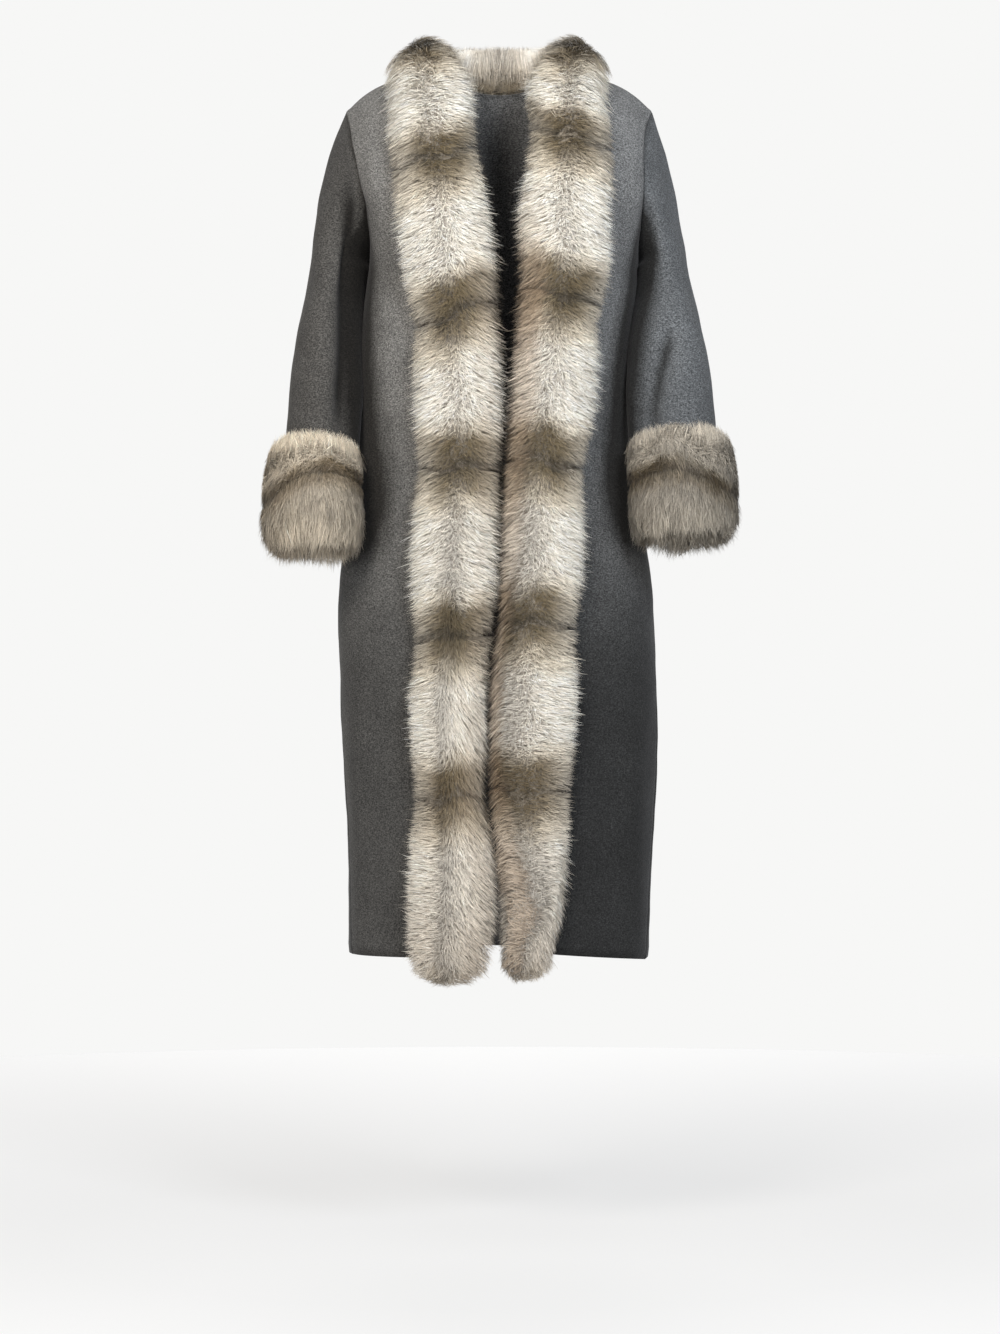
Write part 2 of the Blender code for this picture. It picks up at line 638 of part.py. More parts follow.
def collar(back, ends):
    """The sections of the fur collar, from the right shoulder seam round the back to the left one.

    Its ends are the sections that the fur of the fronts ends with.
    """
    rings = []
    top = back["points"].shape[0] - 1
    for step in range(2 * COLLAR_STEPS + 1):
        side = RIGHT if step <= COLLAR_STEPS else LEFT
        t = 1 - abs(step - COLLAR_STEPS) / COLLAR_STEPS
        turn = t * math.pi / 2
        start = FRONT_COLUMNS + NECK_COLUMNS * t
        base, normals = [], []
        for share in np.linspace(1, 0, FUR_COLUMNS + 1):
            u = start - share * FUR_COLUMNS * math.cos(turn)
            v = top - share * COLLAR_FALL_ROWS * math.sin(turn)
            point, normal = back_at(back, u if side == RIGHT else 2 * BACK_COLUMNS - u, v)
            base.append(point)
            normals.append(normal)
        base, normals = np.array(base), np.array(normals)
        across = NECK_OVERHANG + (COLLAR_IN - NECK_OVERHANG) * math.sin(turn) ** 2
        rise = COLLAR_SIDE_UP + (COLLAR_UP - COLLAR_SIDE_UP) * math.sin(turn)
        inwards = unit(np.array([-base[-1][0], NECK_MIDDLE_Y - base[-1][1], 0.0]))
        upwards = np.array([0.0, 0.0, 1.0])
        tip = across * inwards + rise * upwards
        tip_normal = unit(across * upwards - rise * inwards)
        depth = FUR_DEPTH + (COLLAR_DEPTH - FUR_DEPTH) * t
        lean = NECK_LEAN * math.cos(turn) ** 2
        rings.append(fur_section(base, normals, tip, depth, COLLAR_LIFT, lean, tip_normal))
    rings[0] = ends[RIGHT] + np.array([0.0, SEAM_GAP, 0.0])
    rings[-1] = ends[LEFT] + np.array([0.0, SEAM_GAP, 0.0])
    return np.array(rings)


def cuff(side, sleeve):
    """The sections of a fur cuff, one along each column of the sleeve."""
    rings = []
    count = sleeve["points"].shape[1]
    for j in range(count):
        base = sleeve["points"][-CUFF_ROWS - 1 :, j]
        normals = sleeve["normals"][-CUFF_ROWS - 1 :, j]
        turn = 2 * math.pi * j / count
        facing = max(0.0, math.cos(turn - CUFF_PRESSED_TURN)) ** 2
        depth = CUFF_DEPTH[side] * (1 - CUFF_PRESSED * facing)
        tip = unit(base[-1] - base[-2]) * CUFF_OVERHANG
        rings.append(fur_section(base, normals, tip, depth, SEAM_GAP))
    return np.array(rings)


def make_materials():
    """One Principled material for the cloth and one for the fur."""
    made = {}
    for name, (colour, roughness) in MATERIALS.items():
        material = bpy.data.materials.new(name)
        material.use_nodes = True
        shader = material.node_tree.nodes["Principled BSDF"]
        shader.inputs["Base Color"].default_value = colour
        shader.inputs["Roughness"].default_value = roughness
        shader.inputs["Metallic"].default_value = 0.0
        material.diffuse_color = colour
        made[name] = material
    return made


def main():
    """Builds every piece of the coat."""
    for thing in list(bpy.data.objects):
        bpy.data.objects.remove(thing, do_unlink=True)
    collection = bpy.data.collections.new(COLLECTION)
    bpy.context.scene.collection.children.link(collection)
    materials = make_materials()

    forwards = np.array([0.0, -1.0, 0.0])
    half_backs = {side: half_back_points(side) for side in (RIGHT, LEFT)}
    fronts = {side: panel(front_points(side), forwards + (side, 0, 0)) for side in (RIGHT, LEFT)}
    back_points = np.concatenate([half_backs[RIGHT], half_backs[LEFT][:, -2::-1]], axis=1)
    back = panel(back_points, np.array([RIGHT, 1.0, 0.0]))
    sleeves = {}
    for side in (RIGHT, LEFT):
        points = sleeve_points(side, fronts[side]["points"], half_backs[side])
        sleeves[side] = panel(points, np.array([-side, 0.0, -1.0]), closed=True)
    sew(fronts, back, sleeves)

    bands = {side: front_fur(side, fronts[side]) for side in (RIGHT, LEFT)}
    collar_rings = collar(back, {side: bands[side][-1] for side in (RIGHT, LEFT)})
    wool, fur = materials["wool"], materials["fur"]
    new_object("back", wool, lambda bm: add_wall(bm, back, leans_back=True), collection)
    new_object("fur_collar", fur, lambda bm: add_loft(bm, collar_rings, False), collection)
    for side, name in SIDE_NAMES.items():
        front, sleeve = fronts[side], sleeves[side]
        band, around = bands[side], cuff(side, sleeve)
        new_object("front_" + name, wool, lambda bm, p=front: add_wall(bm, p), collection)
        new_object("sleeve_" + name, wool, lambda bm, p=sleeve: add_wall(bm, p), collection)
        new_object("fur_front_" + name, fur, lambda bm, r=band: add_loft(bm, r, False), collection)
        new_object("fur_cuff_" + name, fur, lambda bm, r=around: add_loft(bm, r, True), collection)


main()
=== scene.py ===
"""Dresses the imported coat: wool shells with soft creases, and fur built hair by hair."""

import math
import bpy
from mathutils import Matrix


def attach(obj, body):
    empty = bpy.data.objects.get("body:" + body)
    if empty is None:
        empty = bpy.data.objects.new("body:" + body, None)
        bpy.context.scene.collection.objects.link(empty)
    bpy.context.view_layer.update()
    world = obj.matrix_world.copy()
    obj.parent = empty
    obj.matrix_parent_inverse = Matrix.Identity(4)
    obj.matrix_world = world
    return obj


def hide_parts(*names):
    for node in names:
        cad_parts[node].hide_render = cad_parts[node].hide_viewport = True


bl_info = {
    "name": "Fur-trimmed coat",
    "version": (1, 0, 0),
    "blender": (4, 5, 0),
    "location": "View3D > Sidebar > Coat",
    "description": "Wool panels, fur bands, fur collar and fur cuffs of a long open coat",
    "category": "Object",
}

import bmesh
import bpy
import numpy as np
from mathutils import Vector
from mathutils.bvhtree import BVHTree
from mathutils.kdtree import KDTree

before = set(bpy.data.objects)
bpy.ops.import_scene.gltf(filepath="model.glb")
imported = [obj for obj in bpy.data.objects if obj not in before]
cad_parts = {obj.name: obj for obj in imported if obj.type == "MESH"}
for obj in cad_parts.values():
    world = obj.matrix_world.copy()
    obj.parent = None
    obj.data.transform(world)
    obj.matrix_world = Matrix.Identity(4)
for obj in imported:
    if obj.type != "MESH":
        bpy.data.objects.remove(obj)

BODY = ("back", "front_right", "front_left")
SLEEVES = ("sleeve_right", "sleeve_left")
WOOL_NODES = BODY + SLEEVES
CUFFS = ("fur_cuff_right", "fur_cuff_left")
SIDES = {"right": -1, "left": 1}

# ---------------------------------------------------------------- the cloth's own values
RIM_EDGE = 0.0052  # only the edges through the wall are shorter
SUBDIVISIONS = 2
UNDERARM = {"right": (-0.172, 0.0, -0.240), "left": (0.184, 0.0, -0.240)}
SHOULDER_POINT = {"right": (-0.203, 0.0, -0.0355), "left": (0.203, 0.0, -0.0355)}
CORNER_REACH = 0.004
SEAM_SINK = 0.0011  # how deep the pressed seams lie

# Each crease: the way it faces, its half width, its depth (negative for a ridge) and its points.
# A crease on the front or back runs through (x, z), one on the outer or inner side through (y, z).
BODY_CREASES = (
    ("front", 0.013, -0.0035, ((-0.202, -0.060), (-0.190, -0.110), (-0.177, -0.172))),
    ("front", 0.011, 0.0030, ((-0.186, -0.080), (-0.173, -0.130), (-0.166, -0.200))),
    ("front", 0.012, -0.0028, ((-0.163, -0.073), (-0.168, -0.125), (-0.170, -0.187))),
    ("front", 0.016, 0.0030, ((0.172, -0.100), (0.166, -0.170), (0.168, -0.260))),
    ("front", 0.018, 0.0032, ((-0.160, -0.400), (-0.150, -0.520), (-0.158, -0.640))),
    ("front", 0.022, 0.0038, ((0.150, -0.330), (0.156, -0.450), (0.146, -0.600))),
    ("front", 0.020, 0.0030, ((-0.158, -0.800), (-0.166, -0.980), (-0.160, -1.146))),
    ("front", 0.018, -0.0030, ((-0.180, -0.760), (-0.186, -0.950), (-0.180, -1.150))),
    ("front", 0.024, 0.0034, ((0.150, -0.760), (0.140, -0.960), (0.146, -1.150))),
    ("front", 0.014, -0.0030, ((0.182, -0.820), (0.178, -0.980), (0.184, -1.155))),
    ("back", 0.030, 0.0060, ((-0.105, -0.560), (-0.112, -0.820), (-0.104, -1.155))),
    ("back", 0.026, -0.0045, ((-0.060, -0.620), (-0.058, -0.880), (-0.066, -1.155))),
    ("back", 0.032, 0.0065, ((0.020, -0.540), (0.030, -0.830), (0.022, -1.155))),
    ("back", 0.026, 0.0055, ((0.118, -0.600), (0.124, -0.860), (0.116, -1.155))),
    ("back", 0.024, -0.0040, ((0.076, -0.640), (0.082, -0.900), (0.074, -1.155))),
    ("back", 0.018, 0.0040, ((-0.172, -0.170), (-0.135, -0.230), (-0.095, -0.262))),
    ("back", 0.018, 0.0042, ((0.176, -0.180), (0.140, -0.245), (0.092, -0.280))),
    ("back", 0.016, 0.0030, ((-0.150, -0.330), (-0.095, -0.392), (-0.030, -0.410))),
    ("back", 0.017, 0.0030, ((0.150, -0.352), (0.100, -0.400), (0.045, -0.424))),
)
SLEEVE_CREASES = {
    "right": (
        ("inner", 0.032, -0.0110, ((-0.005, -0.100), (-0.010, -0.240), (-0.014, -0.290), (-0.044, -0.381),
                                   (-0.068, -0.472), (-0.092, -0.563), (-0.106, -0.640))),
        ("front", 0.017, 0.0150, ((-0.210, -0.080), (-0.201, -0.170), (-0.194, -0.260), (-0.193, -0.345),
                                  (-0.197, -0.430), (-0.203, -0.530))),
        ("front", 0.013, -0.0030, ((-0.236, -0.120), (-0.234, -0.230), (-0.240, -0.330))),
        ("front", 0.011, 0.0035, ((-0.262, -0.345), (-0.243, -0.372), (-0.215, -0.388))),
        ("front", 0.010, 0.0028, ((-0.272, -0.420), (-0.250, -0.437), (-0.222, -0.440))),
        ("outer", 0.018, 0.0040, ((0.030, -0.120), (0.012, -0.230), (0.024, -0.330))),
        ("outer", 0.014, 0.0036, ((0.040, -0.360), (0.000, -0.378), (-0.045, -0.365))),
        ("back", 0.014, 0.0045, ((-0.262, -0.300), (-0.238, -0.345), (-0.205, -0.372))),
        ("back", 0.012, 0.0036, ((-0.268, -0.385), (-0.244, -0.412), (-0.212, -0.430))),
    ),
    "left": (
        ("inner", 0.032, -0.0100, ((-0.005, -0.100), (-0.010, -0.240), (-0.014, -0.290), (-0.044, -0.381),
                                   (-0.068, -0.472), (-0.092, -0.563), (-0.106, -0.640))),
        ("front", 0.013, 0.0110, ((0.232, -0.300), (0.218, -0.345), (0.202, -0.392), (0.193, -0.440),
                                  (0.196, -0.500))),
        ("front", 0.012, -0.0026, ((0.252, -0.330), (0.240, -0.380), (0.226, -0.430))),
        ("front", 0.012, 0.0030, ((0.206, -0.080), (0.200, -0.160), (0.197, -0.260))),
        ("outer", 0.018, 0.0038, ((0.026, -0.130), (0.016, -0.240), (0.028, -0.345))),
        ("outer", 0.014, 0.0034, ((0.044, -0.372), (0.002, -0.392), (-0.040, -0.380))),
        ("back", 0.014, 0.0044, ((0.266, -0.310), (0.240, -0.352), (0.206, -0.375))),
        ("back", 0.012, 0.0034, ((0.270, -0.392), (0.246, -0.420), (0.214, -0.436))),
    ),
}
FACINGS = {"front": -1.0, "back": 1.0}  # which way along Y a crease's side of the coat faces
TURN_AWAY = 1.6  # how soon a crease ends where the cloth turns away from the way it faces
CREASE_END = 0.3  # the share of a crease's length over which each end fades
HEM_START = -1.1  # a crease that ends below this height runs out at the hem and hardly fades
RIPPLE = 0.0011  # the cloth's soft unevenness
UNDERARM_Z = -0.229  # a sleeve's inner creases start below this height
BODY_EDGES = []  # the open edges of the finished back and fronts
FOLD_START = 0.0045  # a trough gets painted shade from this depth
FOLD_DEPTH = 0.0085  # and its full painted shade this much deeper
# the next value is the painted shade in a pressed seam
SEAM_SHADE = 0.55
SEAM_CALM = 0.6  # the share of a crease that is left at a seam
SEAM_GAP = 0.0003
SEAM_NEAR = 0.008  # an open edge this near to another one is sewn to it
SEAM_REACH = 0.035  # how far from a seam the cloth gives way to meet it
SHADE_REACH = 0.085  # how near a piece must be to keep light from the cloth
SHADE_FROM = 0.075  # how shut in the cloth is where its painted shade starts
SHADE_GAIN = 3.2  # and how fast the painted shade grows from there
SHADE_RAYS = 24
GOLDEN_TURN = 2.399963  # the angle that spreads rays evenly round a normal
LOW_SHADE_FROM = -0.30  # painted shade on the wool deepens downwards from this height
LOW_SHADE_TO = -0.85
SIDE_X = 0.17  # about where the side seams lie
# What is cut for each panel: its flat size, across and down, and its area. Then the seed of its
# unevenness; its tint, which is painted light: a warm cast on the right front and sleeve, a cool one on
# the left ones, and painted shade that darkens both sleeves; and the depth of the painted shade low down,
# at the right side, in the middle and at the left side.
PANELS = {
    "back": {
        "flat": (0.70, 1.17), "area": 0.607, "seed": 3,
        "tint": (1.0, 1.0, 1.0), "low_shade_tones": (0.40, 0.50, 0.20),
    },
    "front_right": {
        "flat": (0.33, 1.19), "area": 0.262, "seed": 3,
        "tint": (1.03, 1.0, 0.95), "low_shade_tones": (0.40, 0.40, 0.40),
    },
    "front_left": {
        "flat": (0.33, 1.19), "area": 0.259, "seed": 3,
        "tint": (0.98, 1.0, 1.02), "low_shade_tones": (0.145, 0.145, 0.16),
    },
    "sleeve_right": {
        "flat": (0.40, 0.58), "area": 0.150, "seed": 5,
        "tint": (0.43, 0.41, 0.383), "low_shade_tones": (1.0, 1.0, 1.0),
    },
    "sleeve_left": {
        "flat": (0.40, 0.58), "area": 0.148, "seed": 6,
        "tint": (0.66, 0.70, 0.745), "low_shade_tones": (1.0, 1.0, 1.0),
    },
}

# ---------------------------------------------------------------- the fur's own values
SEED = 7
CAP_EDGES = 11  # more edges than this meet only in the middle of a roll's closed end
CUFF_SECTIONS = 20
BLADE_SHARES = (0.0, 0.55)  # where a hair's cross sections lie, before its tip
BLADE_WIDTHS = (0.85, 1.0)
ROOT_DEPTH = 0.70  # where the roots lie, as a share of the way from the roll's core to its surface
ROOT_BACK = 0.80  # how far back along the combing they lie, as a share of the hair's reach
LOCK_REACH = 0.0065  # how far a hair is drawn over to its lock at most
FRINGE = 0.0085  # how much further out than the others the longest hairs stand at an edge
SOFT_NORMALS = 0.62  # how much a hair is shaded as the roll below it
GROOVE = 0.0032  # how deep the dark lines lie in the fur
SKIN_SHARE = 0.80  # how far out the underfur lies, between the roll's core and its surface
TOP_TUCK = 0.28  # how much the fur beside the neck is drawn in, most at its outer corners
LINE_WAVE = 0.004  # how far a dark line waves up and down on its way across
PELT_BULGE = 0.075  # the hair spreads out fully this far from a dark line
TOP_PELT = -0.13  # above this height the brown over a dark line is shorter
COLLAR_LINES = (0.04, 0.5, 0.96)  # places of the collar's dark lines along it
CUFF_LINES = {  # heights of the dark line across the front of a cuff, by the distance from the middle plane
    "right": ((0.184, -0.521), (0.215, -0.517), (0.250, -0.525), (0.292, -0.549)),
    "left": ((0.170, -0.522), (0.215, -0.518), (0.253, -0.524), (0.292, -0.544)),
}
CUFF_FRONT = -0.165  # where along Y those heights are measured
CUFF_TILT = 0.27  # how much lower a ring round the sleeve lies towards the back
# Painted shade: each cuff's fur is darkened as a whole, the left cuff more.
CUFF_SHADE = {"right": (0.62, 0.575, 0.50), "left": (0.47, 0.45, 0.41)}
# Heights of the dark lines across the pelts, with how much lower each is at the outer edge.
PELT_LINES = {
    "right": ((-1.215, 0.0), (-0.943, 0.0), (-0.735, 0.004), (-0.517, 0.004), (-0.321, 0.034),
              (-0.117, 0.026), (0.060, -0.010)),
    "left": ((-1.210, 0.0), (-0.930, 0.0), (-0.717, 0.004), (-0.510, 0.016), (-0.299, 0.018),
             (-0.088, 0.026), (0.056, -0.010)),
}
# Where the hair parts, as a share from the inner to the outer edge, by height.
PARTINGS = {
    "right": ((-1.2, 0.50), (-0.50, 0.50), (-0.35, 0.55), (-0.20, 0.62), (0.05, 0.60)),
    "left": ((-1.2, 0.22), (-0.55, 0.18), (-0.35, 0.32), (-0.18, 0.50), (0.05, 0.55)),
}

# ---------------------------------------------------------------- the stage's own values
FLOOR_RADIUS = 2.45
FLOOR_TONE = (0.25, 0.25, 0.25)
# The floor's own light, by the distance from its middle.
FLOOR_GLOW = ((0.6, (0.56, 0.56, 0.56)), (2.4, (0.71, 0.71, 0.71)))
CAMERA_PLACE = (0.0013, -5.0, -0.768)
CAMERA_LENS = 102.2
# Each light: its name, place, aim, size, share of the key power and colour.
LIGHTS = (
    ("warm_key", (-1.1, -2.7, 1.05), (0.0, 0.0, -0.30), 1.0, 1.46, (1.0, 0.955, 0.89)),
    ("cool_key", (1.15, -2.7, 1.00), (0.0, 0.0, -0.25), 1.0, 1.38, (0.91, 0.955, 1.0)),
    ("top", (0.0, -0.4, 2.5), (0.0, 0.0, -0.3), 2.4, 0.24, (1.0, 1.0, 1.0)),
    ("rear", (0.0, 3.2, 0.9), (0.0, 0.0, -0.4), 1.8, 0.9, (1.0, 0.99, 0.97)),
)


def linear(*srgb):
    """A colour from its screen values, 0 to 255, in linear light."""
    shares = [value / 255 for value in srgb]
    return tuple(s / 12.92 if s <= 0.04045 else ((s + 0.055) / 1.055) ** 2.4 for s in shares)


# ---------------------------------------------------------------- settings a user would change
class CoatClothSettings(bpy.types.PropertyGroup):
    """Sizes and colours of the wool cloth."""

    thickness: bpy.props.FloatProperty(
        name="Thickness", description="Thickness of the cloth", default=0.0024,
        subtype="DISTANCE", unit="LENGTH",
    )
    dark: bpy.props.FloatVectorProperty(
        name="Dark fibre", description="Darkest of the mixed fibres",
        default=linear(37, 37, 38), subtype="COLOR",
    )
    light: bpy.props.FloatVectorProperty(
        name="Light fibre", description="Lightest of the mixed fibres",
        default=linear(140, 140, 140), subtype="COLOR",
    )
    nap: bpy.props.FloatProperty(
        name="Nap", description="Strength of the brushed surface's sheen", default=0.10, min=0.0, max=1.0,
        subtype="FACTOR",
    )


class CoatFurSettings(bpy.types.PropertyGroup):
    """Sizes and colours of the fur."""

    front_hairs: bpy.props.IntProperty(
        name="Hairs on a front", description="Hairs on each front", default=64000
    )
    collar_hairs: bpy.props.IntProperty(
        name="Hairs on the collar", description="Hairs on the collar", default=44000
    )
    cuff_hairs: bpy.props.IntProperty(
        name="Hairs on a cuff", description="Hairs on each cuff", default=46000
    )
    hair_width: bpy.props.FloatProperty(
        name="Hair width", description="Width of a lock of hair", default=0.00060,
        subtype="DISTANCE", unit="LENGTH",
    )
    hair_reach: bpy.props.FloatProperty(
        name="Hair reach", description="How far a hair lies along the pelt", default=0.021,
        subtype="DISTANCE", unit="LENGTH",
    )
    pale: bpy.props.FloatVectorProperty(
        name="Pale", description="Colour of the pale fur", default=linear(247, 242, 234), subtype="COLOR"
    )
    beige: bpy.props.FloatVectorProperty(
        name="Beige", description="Colour between pale and brown",
        default=linear(214, 203, 184), subtype="COLOR",
    )
    brown: bpy.props.FloatVectorProperty(
        name="Brown", description="Colour of the brown fur", default=linear(120, 106, 80), subtype="COLOR"
    )
    # The dark line is partly the pelts' own and partly painted shade of the groove where two pelts meet.
    line: bpy.props.FloatVectorProperty(
        name="Line", description="Colour of the dark line across a pelt",
        default=linear(62, 55, 42), subtype="COLOR",
    )
    # Ginger is partly the fur's own warmth and partly painted shade along the inner edge, where the fronts
    # meet.
    ginger: bpy.props.FloatVectorProperty(
        name="Ginger", description="Colour of the shaded inner edge",
        default=linear(148, 122, 94), subtype="COLOR",
    )


class CoatStageSettings(bpy.types.PropertyGroup):
    """The plain studio."""

    background: bpy.props.FloatVectorProperty(
        name="Background", description="Colour behind the coat",
        default=linear(247, 247, 246), subtype="COLOR",
    )
    floor_height: bpy.props.FloatProperty(
        name="Floor height", description="Height of the floor", default=-1.515,
        subtype="DISTANCE", unit="LENGTH",
    )
    key_power: bpy.props.FloatProperty(
        name="Key power", description="Power of the soft light", default=58.0, subtype="POWER", unit="POWER"
    )


# ---------------------------------------------------------------- shared helpers
def merged(name):
    """A bmesh copy of a CAD node with its loose triangles joined up."""
    bm = bmesh.new()
    bm.from_mesh(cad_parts[name].data)
    bmesh.ops.remove_doubles(bm, verts=bm.verts, dist=1e-6)
    bm.normal_update()
    return bm


def placed(name, data):
    """A new object in the scene."""
    made = bpy.data.objects.new(name, data)
    bpy.context.scene.collection.objects.link(made)
    return made


def link(name, mesh, material, nodes):
    """A finished piece at the origin, in place of its CAD nodes."""
    piece = placed(name, mesh)
    mesh.materials.clear()
    mesh.materials.append(material)
    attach(piece, "root")
    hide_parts(*nodes)
    return piece


def baked(piece):
    """The piece's mesh with its modifiers worked in."""
    graph = bpy.context.evaluated_depsgraph_get()
    graph.update()
    return bpy.data.meshes.new_from_object(piece.evaluated_get(graph))


def smoothed(mesh, levels):
    """The mesh rounded by subdivision, with the corners of an open edge kept."""
    piece = placed(mesh.name, mesh)
    fine = piece.modifiers.new("Smooth", "SUBSURF")
    fine.levels = fine.render_levels = levels
    fine.boundary_smooth = "PRESERVE_CORNERS"
    finished = baked(piece)
    bpy.data.objects.remove(piece, do_unlink=True)
    return finished


def points_of(mesh, kind="co"):
    """A mesh's points or point normals as an array."""
    source = mesh.vertices if kind == "co" else mesh.vertex_normals
    values = np.empty(len(mesh.vertices) * 3, dtype=np.float32)
    source.foreach_get("co" if kind == "co" else "vector", values)
    return values.reshape(-1, 3).astype(float)


def put_points(mesh, points):
    """Moves a mesh's points."""
    mesh.vertices.foreach_set("co", points.astype(np.float32).ravel())
    mesh.update()


def solids_tree(names):
    """A search tree of some CAD solids."""
    verts, polygons = [], []
    for name in names:
        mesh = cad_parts[name].data
        start = len(verts)
        verts += [tuple(v.co) for v in mesh.vertices]
        polygons += [[start + i for i in p.vertices] for p in mesh.polygons]
    return BVHTree.FromPolygons(verts, polygons)


def nearest_points(places):
    """A search tree of some points."""
    tree = KDTree(len(places))
    for k, place in enumerate(places):
        tree.insert(place, k)
    tree.balance()
    return tree


def unit(vectors):
    """The vectors at a length of one."""
    return vectors / np.maximum(np.linalg.norm(vectors, axis=-1, keepdims=True), 1e-12)


def ease(x):
    """A smooth step from 0 to 1."""
    x = np.clip(x, 0.0, 1.0)
    return x * x * (3 - 2 * x)


def waves(points, size, seed):
    """A soft random field from -1 to 1 with features of the given size."""
    rng = np.random.default_rng(seed)
    total = np.zeros(len(points))
    for _ in range(9):
        way = unit(rng.normal(size=3)) * 2 * math.pi / (size * rng.uniform(0.7, 1.7))
        total += np.sin(points @ way + rng.uniform(0, 2 * math.pi))
    return total / 3.6


# ---------------------------------------------------------------- materials
def node(tree, kind, **values):
    """A shader node with its properties and sockets set."""
    made = tree.nodes.new(kind)
    for name, value in values.items():
        if name in made.bl_rna.properties:
            setattr(made, name, value)
        else:
            made.inputs[name.replace("_", " ")].default_value = value
    return made


def new_material(name, colour, roughness):
    """A Principled material and its tree, shader and output."""
    material = bpy.data.materials.new(name)
    material.use_nodes = True
    material.diffuse_color = (*colour, 1.0)
    tree = material.node_tree
    shader = tree.nodes["Principled BSDF"]
    shader.inputs["Roughness"].default_value = roughness
    return material, tree, shader


def mixed(tree, kind, factor, first, second):
    """A colour mix of two sockets or colours."""
    mix = node(tree, "ShaderNodeMix", data_type="RGBA", blend_type=kind)
    sockets = [s for s in mix.inputs if s.type == "RGBA"]
    for socket, value in ((mix.inputs[0], factor), (sockets[0], first), (sockets[1], second)):
        if isinstance(value, bpy.types.NodeSocket):
            tree.links.new(value, socket)
        else:
            socket.default_value = value
    return [s for s in mix.outputs if s.type == "RGBA"][0]


def ramp(tree, source, *stops):
    """A colour ramp over a value."""
    made = node(tree, "ShaderNodeValToRGB")
    elements = made.color_ramp.elements
    while len(elements) < len(stops):
        elements.new(1.0)
    for element, (place, colour) in zip(elements, stops, strict=True):
        element.position = place
        element.color = (*colour, 1.0) if len(colour) == 3 else colour
    tree.links.new(source, made.inputs[0])
    return made.outputs["Color"]


def noise(tree, coords, scale, detail=2.0, roughness=0.5, stretch=None, turn=(0.0, 0.0, 0.0)):
    """Noise on the coordinates, stretched and turned where asked."""
    source = coords
    if stretch:
        mapping = node(tree, "ShaderNodeMapping")
        mapping.inputs["Scale"].default_value = stretch
        mapping.inputs["Rotation"].default_value = turn
        tree.links.new(coords, mapping.inputs["Vector"])
        source = mapping.outputs["Vector"]
    made = node(tree, "ShaderNodeTexNoise", Scale=scale, Detail=detail, Roughness=roughness)
    tree.links.new(source, made.inputs["Vector"])
    return made.outputs["Fac"]


def bump(tree, height, strength, distance):
    """A bump node over a height."""
    made = node(tree, "ShaderNodeBump", Strength=strength, Distance=distance)
    tree.links.new(height, made.inputs["Height"])
    return made


def painted(tree, shader, uneven):
    """Gives a shader the colour of the hair attribute, made uneven."""
    hair = node(tree, "ShaderNodeAttribute", attribute_name="hair", attribute_type="GEOMETRY")
    colour = mixed(tree, "MULTIPLY", 1.0, hair.outputs["Color"], uneven)
    tree.links.new(colour, shader.inputs["Base Color"])


